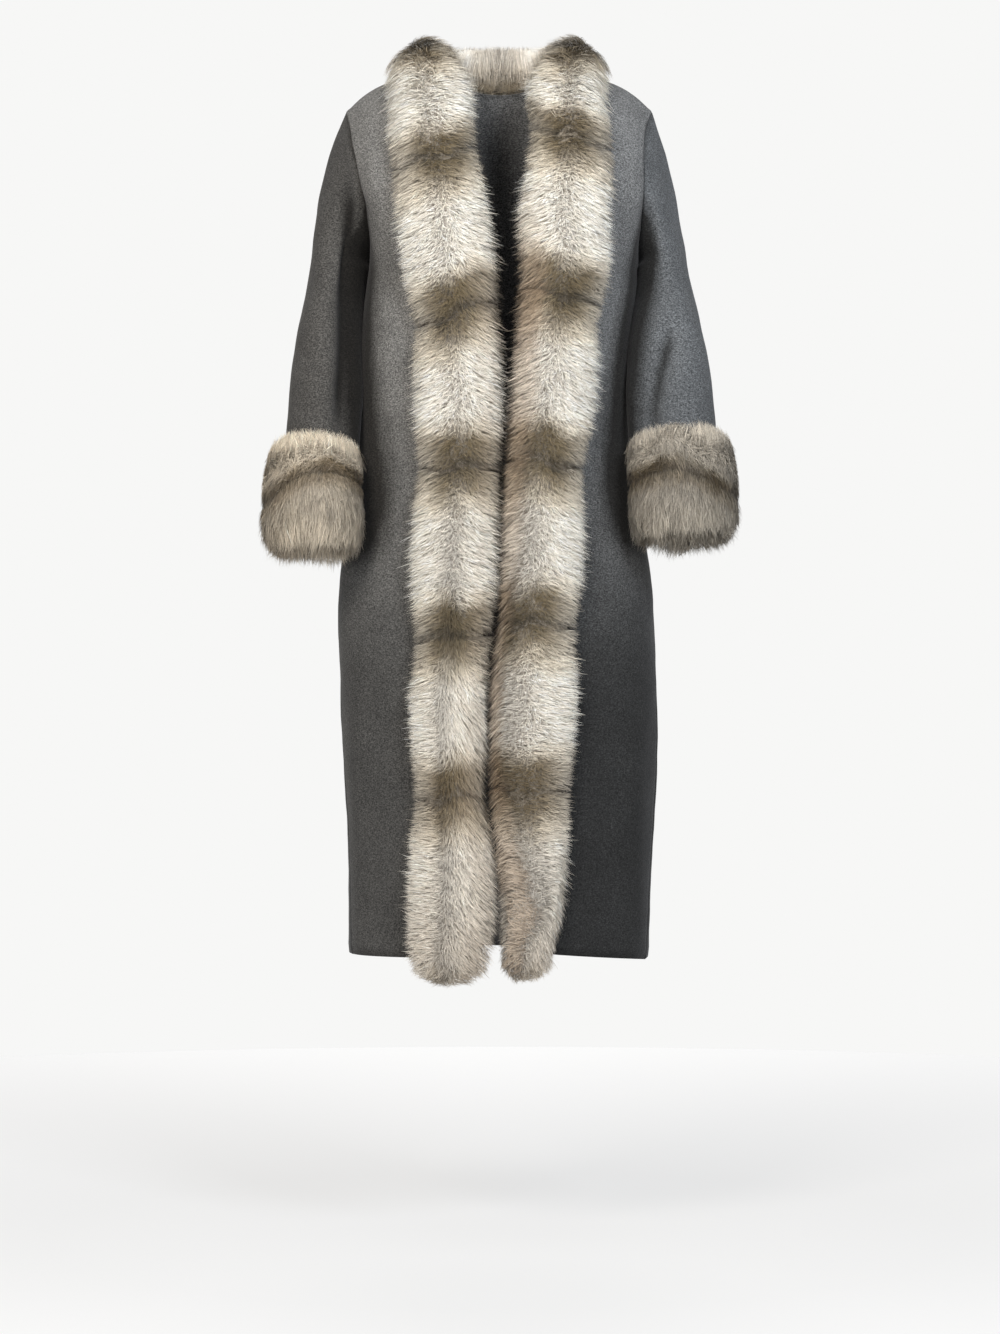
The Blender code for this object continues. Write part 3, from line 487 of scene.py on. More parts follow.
def wool_material(name, settings, tint, low_shade_tones):
    """Felted melange wool: mixed fibres, pale flecks and a brushed nap, with painted light and shade: warm
    and cool casts, painted shade lower down, and painted shade in creases, seams and between pieces.
    """
    material, tree, shader = new_material(name, settings.dark, 0.92)
    coords = node(tree, "ShaderNodeTexCoord").outputs["Object"]
    dark, light = Vector(settings.dark), Vector(settings.light)
    # The tint is painted light: a warm cast on the right front and sleeve, a cool one on the left ones, and
    # painted shade that darkens the sleeves.
    tint = Vector(tint)
    palest = tuple(light * tint)
    middle = tuple((dark * 0.62 + light * 0.38) * tint)
    fibres = noise(tree, coords, 520.0, 4.0, 0.62)
    colour = ramp(tree, fibres, (0.30, tuple(dark * tint)), (0.52, middle), (0.74, palest))
    for turn, seed in ((0.5, 0.9), (-0.65, 1.1), (1.4, 1.0)):
        strands = noise(tree, coords, 300.0 * seed, 2.0, 0.5, (1.0, 1.0, 5.0), (turn, turn * 0.7, 0.0))
        flecks = ramp(tree, strands, (0.60, (0, 0, 0)), (0.70, (1, 1, 1)))
        amount = mixed(tree, "MULTIPLY", 1.0, flecks, (0.52, 0.54, 0.57, 1.0))
        colour = mixed(tree, "MIX", amount, colour, (*(1.5 * c for c in palest), 1.0))
    soft = noise(tree, coords, 15.0, 3.0, 0.55)
    clouds = ramp(tree, soft, (0.30, (0.86, 0.86, 0.86)), (0.70, (1.12, 1.12, 1.12)))
    colour = mixed(tree, "MULTIPLY", 1.0, colour, clouds)
    # Painted shade: the cloth darkens towards the hem, by its low tones across the body, most at the coat's
    # left side.
    place = node(tree, "ShaderNodeSeparateXYZ")
    tree.links.new(coords, place.inputs[0])
    across = node(tree, "ShaderNodeMapRange", From_Min=-SIDE_X, From_Max=SIDE_X)
    tree.links.new(place.outputs["X"], across.inputs[0])
    stops = [(k / 2, (tone, tone, tone)) for k, tone in enumerate(low_shade_tones)]
    drop = node(tree, "ShaderNodeMapRange", From_Min=LOW_SHADE_TO, From_Max=LOW_SHADE_FROM, To_Max=1.0)
    drop.interpolation_type = "SMOOTHSTEP"
    tree.links.new(ramp(tree, across.outputs["Result"], *stops), drop.inputs["To Min"])
    tree.links.new(place.outputs["Z"], drop.inputs[0])
    colour = mixed(tree, "MULTIPLY", 1.0, colour, drop.outputs["Result"])
    # Painted shade: darker in the creases, the pressed seams and where other pieces shut the cloth in.
    painted_shade = node(tree, "ShaderNodeAttribute", attribute_name="painted_shade", attribute_type="GEOMETRY")
    deep = ramp(tree, painted_shade.outputs["Fac"], (0.0, (1.0, 1.0, 1.0)), (1.0, (0.16, 0.15, 0.14)))
    colour = mixed(tree, "MULTIPLY", 1.0, colour, deep)
    tree.links.new(colour, shader.inputs["Base Color"])
    shader.inputs["Specular IOR Level"].default_value = 0.18
    shader.inputs["Sheen Weight"].default_value = settings.nap
    shader.inputs["Sheen Roughness"].default_value = 0.42
    shader.inputs["Sheen Tint"].default_value = (0.80, 0.80, 0.82, 1.0)
    rough = ramp(tree, noise(tree, coords, 220.0, 2.0), (0.3, (0.86, 0.86, 0.86)), (0.7, (0.97, 0.97, 0.97)))
    tree.links.new(rough, shader.inputs["Roughness"])
    felt = bump(tree, noise(tree, coords, 700.0, 4.0, 0.65), 0.55, 0.0007)
    pile = bump(tree, noise(tree, coords, 160.0, 3.0, 0.6), 0.45, 0.0014)
    tree.links.new(felt.outputs["Normal"], pile.inputs["Normal"])
    tree.links.new(pile.outputs["Normal"], shader.inputs["Normal"])
    return material


def hair_material(name, colour):
    """Soft hair, coloured along its length by the hair attribute."""
    material, tree, shader = new_material(name, colour, 0.62)
    coords = node(tree, "ShaderNodeTexCoord").outputs["Object"]
    spots = noise(tree, coords, 240.0, 2.0, 0.6)
    painted(tree, shader, ramp(tree, spots, (0.3, (0.90, 0.895, 0.89)), (0.7, (1.05, 1.05, 1.05))))
    shader.inputs["Specular IOR Level"].default_value = 0.28
    shader.inputs["Sheen Weight"].default_value = 0.12
    shader.inputs["Sheen Roughness"].default_value = 0.5
    fine = bump(tree, noise(tree, coords, 900.0, 2.0), 0.3, 0.0005)
    tree.links.new(fine.outputs["Normal"], shader.inputs["Normal"])
    return material


def skin_material(name, colour):
    """Short dense underfur below the hair."""
    material, tree, shader = new_material(name, colour, 0.95)
    coords = node(tree, "ShaderNodeTexCoord").outputs["Object"]
    strands = noise(tree, coords, 420.0, 4.0, 0.7, (1.0, 1.0, 0.35))
    painted(tree, shader, ramp(tree, strands, (0.35, (0.45, 0.43, 0.40)), (0.65, (1.05, 1.05, 1.05))))
    rough = bump(tree, strands, 0.9, 0.003)
    tree.links.new(rough.outputs["Normal"], shader.inputs["Normal"])
    return material


# ---------------------------------------------------------------- cloth
def outer_sheet(name):
    """The outer face of a CAD panel's wall, as four-sided faces."""
    bm = merged(name)
    rims = [face for face in bm.faces if min(edge.calc_length() for edge in face.edges) < RIM_EDGE]
    bmesh.ops.delete(bm, geom=rims, context="FACES")
    islands, seen = [], set()
    for start in bm.faces:
        if start in seen:
            continue
        island, todo = [], [start]
        seen.add(start)
        while todo:
            face = todo.pop()
            island.append(face)
            for edge in face.edges:
                for other in edge.link_faces:
                    if other not in seen:
                        seen.add(other)
                        todo.append(other)
        islands.append(island)
    islands.sort(key=lambda island: sum(face.calc_area() for face in island), reverse=True)
    if len(islands) < 2:
        raise RuntimeError(f"{name}: its wall didn't come apart into an outer and an inner face")
    unwanted = [face for island in islands[1:] for face in island]
    bmesh.ops.delete(bm, geom=unwanted, context="FACES")
    bmesh.ops.join_triangles(
        bm, faces=bm.faces, angle_face_threshold=math.radians(50), angle_shape_threshold=math.radians(60)
    )
    layer = bm.verts.layers.float.get("crease_vert") or bm.verts.layers.float.new("crease_vert")
    for side in SIDES:
        for corner in (UNDERARM[side], SHOULDER_POINT[side]):
            near = min(bm.verts, key=lambda vert: (vert.co - Vector(corner)).length)
            if (near.co - Vector(corner)).length < CORNER_REACH:
                near[layer] = 1.0
    return bm


def crease_amount(points, normals, crease, outwards):
    """How much one crease pushes each point in along its normal."""
    facing, width, depth, line = crease
    if facing in ("outer", "inner"):
        flat = points[:, [1, 2]]
        turned = outwards if facing == "outer" else -outwards
        faces = ease(normals[:, 0] * turned * TURN_AWAY)
        if facing == "inner":
            faces *= ease((UNDERARM_Z - points[:, 2]) / 0.014)
    else:
        flat = points[:, [0, 2]]
        faces = ease(normals[:, 1] * FACINGS[facing] * TURN_AWAY + 0.15)
    line = np.array(line)
    steps = np.linalg.norm(np.diff(line, axis=0), axis=1)
    starts = np.concatenate([[0.0], np.cumsum(steps)])
    nearest = np.full(len(points), 1e9)
    place = np.zeros(len(points))
    for k, step in enumerate(steps):
        way = (line[k + 1] - line[k]) / step
        t = np.clip((flat - line[k]) @ way, 0.0, step)
        far = np.linalg.norm(flat - line[k] - t[:, None] * way, axis=1)
        closer = far < nearest
        nearest[closer] = far[closer]
        place[closer] = (starts[k] + t[closer]) / starts[-1]
    at_end = 0.6 if line[-1][1] < HEM_START else 0.05
    fade = np.minimum(ease(place / CREASE_END + 0.05), ease((1 - place) / CREASE_END + at_end))
    return depth * np.exp(-((nearest / width) ** 2)) * fade * faces


def closed_in(points, normals, names):
    """How much each point of cloth is shut in by pieces close in front of it, from 0 to 1."""
    tree = solids_tree(names)
    turns = np.arange(SHADE_RAYS) * GOLDEN_TURN
    heights = np.sqrt((np.arange(SHADE_RAYS) + 0.5) / SHADE_RAYS)
    outs = np.sqrt(1 - heights**2)
    first = unit(np.cross(normals, (0.03, 0.05, 1.0)))
    second = np.cross(normals, first)
    blocked = np.zeros(len(points))
    starts = points + normals * 0.002
    for turn, height, out in zip(turns, heights, outs, strict=True):
        ways = normals * height + (first * math.cos(turn) + second * math.sin(turn)) * out
        for k, (start, way) in enumerate(zip(starts, ways, strict=True)):
            far = tree.ray_cast(Vector(start), Vector(way), SHADE_REACH)[3]
            if far is not None:
                blocked[k] += 1.0 - 0.6 * far / SHADE_REACH
    return blocked / SHADE_RAYS


def open_rim(mesh):
    """The indices of the points on a sheet's open edges."""
    bm = bmesh.new()
    bm.from_mesh(mesh)
    rim = [vert.index for vert in bm.verts if vert.is_boundary]
    bm.free()
    return rim


def shape_cloth(mesh, creases, outwards, seed, near):
    """Presses the creases, the soft unevenness and the seams into a sheet, and stores the shade painted into
    its creases, its seams and where other pieces shut it in.
    """
    points, normals = points_of(mesh), points_of(mesh, "normal")
    # painted shade where nearby pieces shut the cloth in
    beside = np.clip((closed_in(points, normals, near) - SHADE_FROM) * SHADE_GAIN, 0.0, 1.0)
    push = np.zeros(len(points))
    for crease in creases:
        push += crease_amount(points, normals, crease, outwards)
    shade = ease((push - FOLD_START) / FOLD_DEPTH)
    push += RIPPLE * waves(points * (1.0, 1.0, 0.45), 0.12, seed)
    push += 0.4 * RIPPLE * waves(points, 0.045, seed + 1)
    rim = open_rim(mesh)
    push[rim] = push[rim] * SEAM_CALM + SEAM_SINK
    shade[rim] = np.maximum(shade[rim], SEAM_SHADE)
    shade = 1 - (1 - shade) * (1 - beside)
    mesh.attributes.new("painted_shade", "FLOAT", "POINT").data.foreach_set("value", shade.astype(np.float32))
    put_points(mesh, points - push[:, None] * normals)


def edge_curve(mesh):
    """Points close together along a sheet's open edges."""
    bm = bmesh.new()
    bm.from_mesh(mesh)
    shares = np.linspace(0.0, 1.0, 12)[:, None]
    found = [
        (1 - shares) * np.array(edge.verts[0].co) + shares * np.array(edge.verts[1].co)
        for edge in bm.edges if edge.is_boundary
    ]
    bm.free()
    return np.concatenate(found)


def meet_seam(mesh, curve):
    """Draws a sheet's edges to the edges that they are sewn to, and the cloth beside them along."""
    points = points_of(mesh)
    edges = nearest_points(curve)
    rim = [k for k in open_rim(mesh) if edges.find(points[k])[2] < SEAM_NEAR]
    moves = []
    for k in rim:
        target, _, far = edges.find(points[k])
        moves.append((np.array(target) - points[k]) * max(0.0, 1.0 - SEAM_GAP / max(far, 1e-9)))
    moves = np.array(moves)
    sewn = nearest_points(points[rim])
    for k, point in enumerate(points.copy()):
        _, nearest, far = sewn.find(point)
        if far < SEAM_REACH:
            points[k] += moves[nearest] * float(ease(1.0 - far / SEAM_REACH))
    put_points(mesh, points)


def make_cloth(name, creases, outwards=0):
    """One panel of wool as a thin shell. outwards is the side of the body that a sleeve is on."""
    settings = bpy.context.scene.coat_cloth
    panel = PANELS[name]
    bm = outer_sheet(name)
    mesh = bpy.data.meshes.new(name + "_wool")
    bm.to_mesh(mesh)
    bm.free()
    shaped = smoothed(mesh, SUBDIVISIONS)
    near = CUFFS + SLEEVES if name in BODY else BODY
    shape_cloth(shaped, creases, outwards, panel["seed"], near)
    if BODY_EDGES:
        meet_seam(shaped, BODY_EDGES[0] if name in BODY else np.concatenate(BODY_EDGES))
    if name in BODY:
        BODY_EDGES.append(edge_curve(shaped))
    shaped.name = name + "_wool"
    shaped.shade_smooth()
    material = wool_material(name + "_wool", settings, panel["tint"], panel["low_shade_tones"])
    piece = link(name + "_wool", shaped, material, [name])
    wall = piece.modifiers.new("Wall", "SOLIDIFY")
    wall.thickness = settings.thickness
    wall.offset = -1.0
    wall.use_rim = True
    rounded = piece.modifiers.new("Edge", "BEVEL")
    rounded.width = settings.thickness * 0.32
    rounded.segments = 2
    rounded.limit_method = "ANGLE"
    rounded.angle_limit = math.radians(50)
    finished = baked(piece)
    piece.modifiers.clear()
    finished.name = name + "_wool"
    piece.data = finished
    finished.shade_smooth()


# ---------------------------------------------------------------- fur
def sections(bm, name):
    """Sorts a fur roll's points into its cross sections, from one end to the other or round a cuff."""
    bm.verts.ensure_lookup_table()
    if name.startswith("fur_cuff"):
        return sections_round(bm)
    caps = [vert for vert in bm.verts if len(vert.link_edges) > CAP_EDGES]
    if len(caps) < 2:
        raise RuntimeError(f"{name}: its end caps weren't found")
    start = min(caps, key=lambda vert: (round(vert.co.z, 3), vert.co.x))
    layer = {start.index: 0}
    wave = [start]
    depth = 0
    while wave:
        depth += 1
        following = []
        for vert in wave:
            for edge in vert.link_edges:
                other = edge.other_vert(vert)
                if other.index not in layer:
                    layer[other.index] = depth
                    following.append(other)
        wave = following
    return np.array([layer[vert.index] for vert in bm.verts])


def sections_round(bm):
    """The cross sections of a cuff, by the angle round its sleeve."""
    points = np.array([vert.co for vert in bm.verts])
    centre = points.mean(axis=0)
    _, _, axes = np.linalg.svd(points - centre, full_matrices=False)
    axis = axes[np.argmax(np.abs(axes[:, 2]))]
    axis = axis * np.sign(axis[2])
    across = unit(np.cross(axis, (0.0, -1.0, 0.0)))
    forwards = np.cross(across, axis)
    away = points - centre
    angle = np.arctan2(away @ across, away @ forwards)
    turn = (angle + math.pi) / (2 * math.pi)
    return np.floor(turn * CUFF_SECTIONS - 1e-6).astype(int) % CUFF_SECTIONS


def roll(name, toward):
    """A roll of fur read from its CAD solid: its points, faces, core and the place across it.

    toward gives, for the middle of a section, the way to the edge where the place is 0.
    """
    bm = merged(name)
    bmesh.ops.recalc_face_normals(bm, faces=bm.faces)
    layers = sections(bm, name)
    points = np.array([vert.co for vert in bm.verts])
    normals = np.array([vert.normal for vert in bm.verts])
    faces = np.array([[vert.index for vert in face.verts] for face in bm.faces])
    bm.free()
    core = np.zeros_like(points)
    across = np.zeros_like(points)
    place = np.zeros(len(points))
    middles = {}
    for k in np.unique(layers):
        ring = np.where(layers == k)[0]
        middle = points[ring].mean(axis=0)
        middles[k] = middle
        if len(ring) < 4:
            core[ring] = middle
            across[ring] = -unit(np.array(toward(middle)))
            place[ring] = 0.5
            continue
        _, _, axes = np.linalg.svd(points[ring] - middle, full_matrices=False)
        way = axes[0] * -np.sign(axes[0] @ np.array(toward(middle)))
        reach = (points[ring] - middle) @ way
        low, high = reach.min(), reach.max()
        core[ring] = middle
        across[ring] = way
        place[ring] = (reach - low) / max(high - low, 1e-6)
    return {
        "points": points, "normals": normals, "faces": faces, "layers": layers, "core": core,
        "across": across, "place": place, "middles": middles,
    }


def open_faces(fur, cloth, cut_ends=False):
    """The faces of a roll that don't lie on the cloth."""
    keep = []
    corners = fur["points"][fur["faces"]]
    normals = unit(np.cross(corners[:, 1] - corners[:, 0], corners[:, 2] - corners[:, 0]))
    for centre, normal in zip(corners.mean(axis=1), normals, strict=True):
        hit = cloth.ray_cast(Vector(centre), Vector(normal), 0.006)
        keep.append(hit[0] is None)
    keep = np.array(keep)
    if cut_ends:
        last = fur["layers"].max()
        ends = (fur["layers"][fur["faces"]] == last).any(axis=1)
        flat = np.abs(normals[:, 1]) > 0.9
        keep &= ~(ends & flat)
    return keep


def scatter(fur, keep, count, rng):
    """Random places on the open faces of a roll, with every value read there."""
    faces = fur["faces"][keep]
    corners = fur["points"][faces]
    area = np.linalg.norm(np.cross(corners[:, 1] - corners[:, 0], corners[:, 2] - corners[:, 0]), axis=1)
    chosen = rng.choice(len(faces), size=count, p=area / area.sum())
    a, b = rng.random(count), rng.random(count)
    over = a + b > 1
    a[over], b[over] = 1 - a[over], 1 - b[over]
    weights = np.stack([1 - a - b, a, b], axis=1)
    found = {}
    for name in ("points", "normals", "core", "across", "place", "along"):
        values = fur[name][faces[chosen]]
        shape = weights if values.ndim == 2 else weights[:, :, None]
        found[name] = (values * shape).sum(axis=1)
    found["normals"] = unit(found["normals"])
    found["across"] = unit(found["across"])
    return found


def clumped(tips, roots, rng, share, strength):
    """Draws the tips of neighbouring hairs together into locks, each led by one hair."""
    count = len(tips)
    leaders = rng.choice(count, size=int(count * share), replace=False)
    lead = nearest_points(roots[leaders])
    owner = np.array([leaders[lead.find(root)[1]] for root in roots])
    pull = strength * rng.uniform(0.0, 1.0, size=(count, 1))
    offset = tips[owner] - tips
    far = np.linalg.norm(offset, axis=1, keepdims=True)
    offset *= np.minimum(1.0, LOCK_REACH / np.maximum(far, 1e-9))
    return tips + pull * offset


def paint(mesh, tints):
    """Stores the colours of a mesh's points in its hair attribute."""
    layer = mesh.color_attributes.new("hair", "FLOAT_COLOR", "POINT")
    layer.data.foreach_set("color", tints.astype(np.float32).ravel())


def blades(name, node_name, roots, tips, bow, widths, surface, colours):
    """A joined mesh of tapered hairs from arrays: each has two cross sections and a tip."""
    count = len(roots)
    middle = (roots + tips) / 2 + bow
    verts = np.zeros((count, 5, 3))
    tints = np.ones((count, 5, 4))
    way = unit(tips - roots)
    sideways = unit(np.cross(way, surface))
    rng = np.random.default_rng(SEED + count)
    roll_angle = rng.normal(0.0, 0.45, size=(count, 1))
    lifted = np.cross(way, sideways)
    sideways = sideways * np.cos(roll_angle) + lifted * np.sin(roll_angle)
    for k, (t, share) in enumerate(zip(BLADE_SHARES, BLADE_WIDTHS, strict=True)):
        on_line = (1 - t) ** 2 * roots + 2 * t * (1 - t) * middle + t * t * tips
        half = sideways * (widths * share / 2)[:, None]
        verts[:, 2 * k] = on_line - half
        verts[:, 2 * k + 1] = on_line + half
        tints[:, 2 * k, :3] = tints[:, 2 * k + 1, :3] = colours[k]
    verts[:, 4] = tips
    tints[:, 4, :3] = colours[2]
    loops = np.array([0, 1, 3, 2, 2, 3, 4])
    mesh = bpy.data.meshes.new(name)
    mesh.vertices.add(count * 5)
    mesh.vertices.foreach_set("co", verts.astype(np.float32).ravel())
    mesh.loops.add(count * 7)
    corners = loops[None] + 5 * np.arange(count)[:, None]
    mesh.loops.foreach_set("vertex_index", corners.astype(np.int32).ravel())
    mesh.polygons.add(count * 2)
    starts = np.array([0, 4])[None] + 7 * np.arange(count)[:, None]
    mesh.polygons.foreach_set("loop_start", starts.astype(np.int32).ravel())
    mesh.polygons.foreach_set("loop_total", np.tile([4, 3], count).astype(np.int32))
    mesh.update(calc_edges=True)
    paint(mesh, tints)
    mesh.shade_smooth()
    soft = np.repeat(surface, 5, axis=0)
    own = points_of(mesh, "normal")
    own *= np.sign(np.sum(own * soft, axis=1, keepdims=True) + 1e-9)
    mesh.normals_split_custom_set_from_vertices(unit(SOFT_NORMALS * soft + (1 - SOFT_NORMALS) * own).tolist())
    link(name, mesh, bpy.data.materials["fur_hair"], [node_name])


def clear_of_cloth(roots, tips):
    """Whether each hair stays on its own side of the cloth."""
    cloth = solids_tree(WOOL_NODES)
    ways = tips - roots
    far = np.linalg.norm(ways, axis=1)
    return np.array([
        cloth.ray_cast(Vector(root), Vector(way), length)[0] is None
        for root, way, length in zip(roots, ways, far, strict=True)
    ])


def grow(name, node_name, found, flow, reach, lift, stray, colour, root_shade, rng, locks=(0.16, 0.42)):
    """Turns places on a roll and the way they are combed into hair."""
    settings = bpy.context.scene.coat_fur
    points, normals = found["points"], found["normals"]
    flow = unit(flow - normals * np.sum(flow * normals, axis=1, keepdims=True))
    roots = found["core"] + ROOT_DEPTH * (points - found["core"]) - flow * reach * ROOT_BACK
    tips = clumped(points + normals * lift + stray, roots, rng, *locks)
    bow = normals * rng.uniform(0.0015, 0.005, size=(len(points), 1))
    widths = settings.hair_width * rng.uniform(0.55, 1.35, len(points))
    tints = hair_tints(colour, rng, root_shade)
    free = clear_of_cloth(roots, tips)
    tints = [tint[free] for tint in tints]
    blades(name, node_name, roots[free], tips[free], bow[free], widths[free], normals[free], tints)


def skin(name, fur, colours):
    """The underfur: the roll drawn in towards its core."""
    bm = bmesh.new()
    points = fur["core"] + SKIN_SHARE * (fur["points"] - fur["core"])
    verts = [bm.verts.new(point) for point in points]
    for face in fur["faces"]:
        bm.faces.new([verts[i] for i in face])
    bmesh.ops.recalc_face_normals(bm, faces=bm.faces)
    mesh = bpy.data.meshes.new(name)
    bm.to_mesh(mesh)
    bm.free()
    paint(mesh, np.concatenate([colours, np.ones((len(colours), 1))], axis=1))
    mesh.shade_smooth()
    finished = smoothed(mesh, 1)
    finished.name = name
    finished.shade_smooth()
    link(name, finished, bpy.data.materials["fur_skin"], [])


def pelt_colour(distance, settings, middle, warm):
    """The fur's colour by its distance below a dark line, with how far it is in the pelt's middle."""
    pale, beige, brown, line, ginger = (
        np.array(getattr(settings, name)) for name in ("pale", "beige", "brown", "line", "ginger")
    )
    stops = (-0.066, -0.052, -0.034, -0.0085, -0.0018, 0.0016, 0.0065, 0.024, 0.046, 0.068)
    above = 0.30 * line + 0.70 * brown
    below = 0.12 * line + 0.88 * brown
    tints = np.array((pale, 0.45 * pale + 0.55 * beige, brown, above, line, line, below,
                      0.20 * beige + 0.80 * brown, 0.75 * beige + 0.25 * pale, pale))
    colour = np.stack([np.interp(distance, stops, tints[:, k]) for k in range(3)], axis=1)
    edge = 0.92 * pale + 0.08 * beige
    strength = np.where(np.abs(distance) < 0.005, 0.70 + 0.30 * middle, 0.42 + 0.58 * middle)[:, None]
    colour = edge + (colour - edge) * strength
    warm = warm[:, None]
    return colour * (1 - warm) + (colour * 0.36 + ginger * 0.64) * warm


def nearest_line(places, at):
    """The signed distance below the nearest of some dark lines, given as arrays for each place."""
    offsets = np.stack([line - at for line in places], axis=1)
    return offsets[np.arange(len(at)), np.argmin(np.abs(offsets), axis=1)]


def parted(place, parting):
    """Which way the hair leaves its parting at each place, and how far out that is, from 0 to 1."""
    outer = place > parting
    spread = np.where(outer, (place - parting) / (1 - parting), (parting - place) / parting)
    return np.where(outer, 1.0, -1.0), np.clip(spread, 0.0, 1.0)


def edge_share(place, start, over):
    """How near each place is to either edge of the fur, from 0 to 1."""
    return ease((np.abs(place - 0.5) - start) / over)


def hair_tints(colour, rng, root_shade):
    """The colours along each hair, from its root, painted dark as shade deep in the fur, to its pale tip."""
    count = len(colour)
    vary = np.exp(rng.normal(0.0, 0.14, size=(count, 1)))
    dark = rng.random((count, 1)) < 0.07
    base = np.clip(colour * vary * np.where(dark, 0.70, 1.0), 0.0, 0.93)
    root = base * root_shade * (1.0, 0.96, 0.90)
    return (root, base * 0.94, np.clip(base * 1.08, 0.0, 0.95))


def short_of_line(reach, distance, share, least):
    """Keeps the hair just below a dark line short, so that it doesn't start above the line."""
    return np.where(distance[:, None] > 0, np.minimum(reach, distance[:, None] * share + least), reach)


def pelt_lines(side, place, wave):
    """The heights of a front's dark lines at places across it, each line a little wavy."""
    return [
        height - droop * (place - 0.5) + wave * np.sin(place * 9.0 + height * 40.0)
        for height, droop in PELT_LINES[side]
    ]


def front_flow(found, sign, away, spread, bulge, rng):
    """Which way a front's hair is combed: down, and outwards from the parting."""
    points = found["points"]
    z = points[:, 2]
    count = len(z)
    down = np.stack([np.zeros(count), -0.25 * ease((z + 0.12) / 0.12), -np.ones(count)], axis=1)
    swirl = 0.40 * waves(points, 0.035, 11 + sign) + 0.25 * waves(points, 0.012, 15 + sign)
    sideways = away * (0.06 + (0.40 + 0.30 * bulge) * spread) + swirl * (1.3 - 0.7 * spread)
    flow = found["across"] * sideways[:, None] + unit(down) * (1.0 - 0.15 * spread)[:, None]
    return flow + rng.normal(0.0, 0.46, size=(count, 3)) * (1.25 - 0.60 * ease(spread * 1.3))[:, None]


def front_stray(found, spread, bulge, rng):
    """How far a front's hairs stand up, and how they stray at its edges and its lower end."""
    points, place = found["points"], found["place"]
    count = len(place)
    edge = (edge_share(place, 0.30, 0.2) * (0.62 + 0.38 * bulge))[:, None]
    lift = rng.uniform(-0.0015, 0.0035, size=(count, 1)) + 0.0012 * waves(points, 0.02, 3)[:, None]
    lift += rng.uniform(0.0, 0.006, size=(count, 1)) * (1 - spread)[:, None]
    fringe = 0.004 * rng.random((count, 1)) + FRINGE * rng.random((count, 1)) ** 4
    stray = found["across"] * np.sign(place - 0.5)[:, None] * edge * fringe
    stray += rng.normal(0.0, 1.0, size=(count, 3)) * (1.0, 0.4, 1.0) * edge * fringe * 0.35
    stray[:, 2] -= ease((-1.125 - points[:, 2]) / 0.03) * rng.uniform(0.0, 0.008, size=count)
    return lift, stray


def front_colour(found, side, distance, spread):
    """The colours of a front's hairs: the pelts' own, warmer low down, and warmer and darker at the inner
    edge, partly the fur's own and partly painted shade where the fronts meet.
    """
    points, place = found["points"], found["place"]
    z = points[:, 2]
    middle = np.exp(-((np.abs(place - 0.46) / 0.45) ** 4.0))
    # Partly painted shade: the inner edge, where the fronts meet, turns ginger and darker, far more on the
    # left front.
    inner = ease((0.30 - place) / 0.22) * (1.0 if side == "left" else 0.30)
    inner = inner * (0.85 + 0.15 * waves(points, 0.1, 8)) * ease((-0.12 - z) / 0.2)
    warm = np.clip(inner + 0.22 * ease((-0.70 - z) / 0.4) + 0.22 * ease((-1.06 - z) / 0.08), 0.0, 1.0)
    colour = pelt_colour(distance, bpy.context.scene.coat_fur, middle, warm)
    spine = (0.14 + 0.26 * ease((-0.40 - z) / 0.3)) * np.exp(-((spread / 0.42) ** 2))
    tufts = np.exp(0.12 * waves(points * (1.0, 1.0, 0.5), 0.008, 55 + SIDES[side]))
    return colour * ((tufts * (1 - spine))[:, None] * (1, 0.985, 0.95))


def front_fur(side):
    """One front's fur: pelts end to end, parted down their length, with dark lines across."""
    settings = bpy.context.scene.coat_fur
    sign = SIDES[side]
    name = "fur_front_" + side
    fur = roll(name, lambda middle: (-sign, 0.0, 0.0))
    top = ease((fur["points"][:, 2] + 0.01) / 0.04) * (0.45 + 0.55 * ease((fur["place"] - 0.45) / 0.5))
    fur["points"] -= (fur["points"] - fur["core"]) * (TOP_TUCK * top)[:, None]
    fur["along"] = fur["points"][:, 2]
    rng = np.random.default_rng(SEED + 1 + (sign > 0))
    keep = open_faces(fur, solids_tree(WOOL_NODES), cut_ends=True)
    found = scatter(fur, keep, settings.front_hairs, rng)
    points, place = found["points"], found["place"]
    distance = nearest_line(pelt_lines(side, place, LINE_WAVE), points[:, 2])
    distance *= np.where((distance < 0) & (points[:, 2] > TOP_PELT), 1.3, 1.0)
    bulge = ease(np.abs(distance) / PELT_BULGE)
    sink = GROOVE * np.exp(-((distance / 0.005) ** 2)) * ease((0.46 - np.abs(place - 0.5)) / 0.12)
    points -= found["normals"] * sink[:, None]
    parting = np.interp(points[:, 2], *np.array(PARTINGS[side]).T) + 0.035 * waves(points, 0.07, 5 + sign)
    away, spread = parted(place, parting)
    flow = front_flow(found, sign, away, spread, bulge, rng)
    reach = rng.uniform(0.5, 1.2, size=(len(place), 1))
    reach = short_of_line(settings.hair_reach * reach * (0.60 + 0.35 * spread)[:, None], distance, 1.3, 0.005)
    lift, stray = front_stray(found, spread, bulge, rng)
    distance = distance + 0.0035 * waves(points, 0.03, 21 + sign) + rng.normal(0.0, 0.0026, len(place))
    colour = front_colour(found, side, distance, spread)
    # Painted shade: the roots darken most near the parting, where the hair stands up.
    root_shade = (0.34 + 0.36 * ease(spread * 1.25))[:, None]
    grow("fur_hair_front_" + side, name, found, flow, reach, lift, stray, colour, root_shade, rng)
    distance = nearest_line(pelt_lines(side, fur["place"], 0.0), fur["along"])
    under = pelt_colour(distance, settings, np.full(len(distance), 0.6), np.full(len(distance), 0.25))
    skin("fur_skin_front_" + side, fur, under * 0.70)


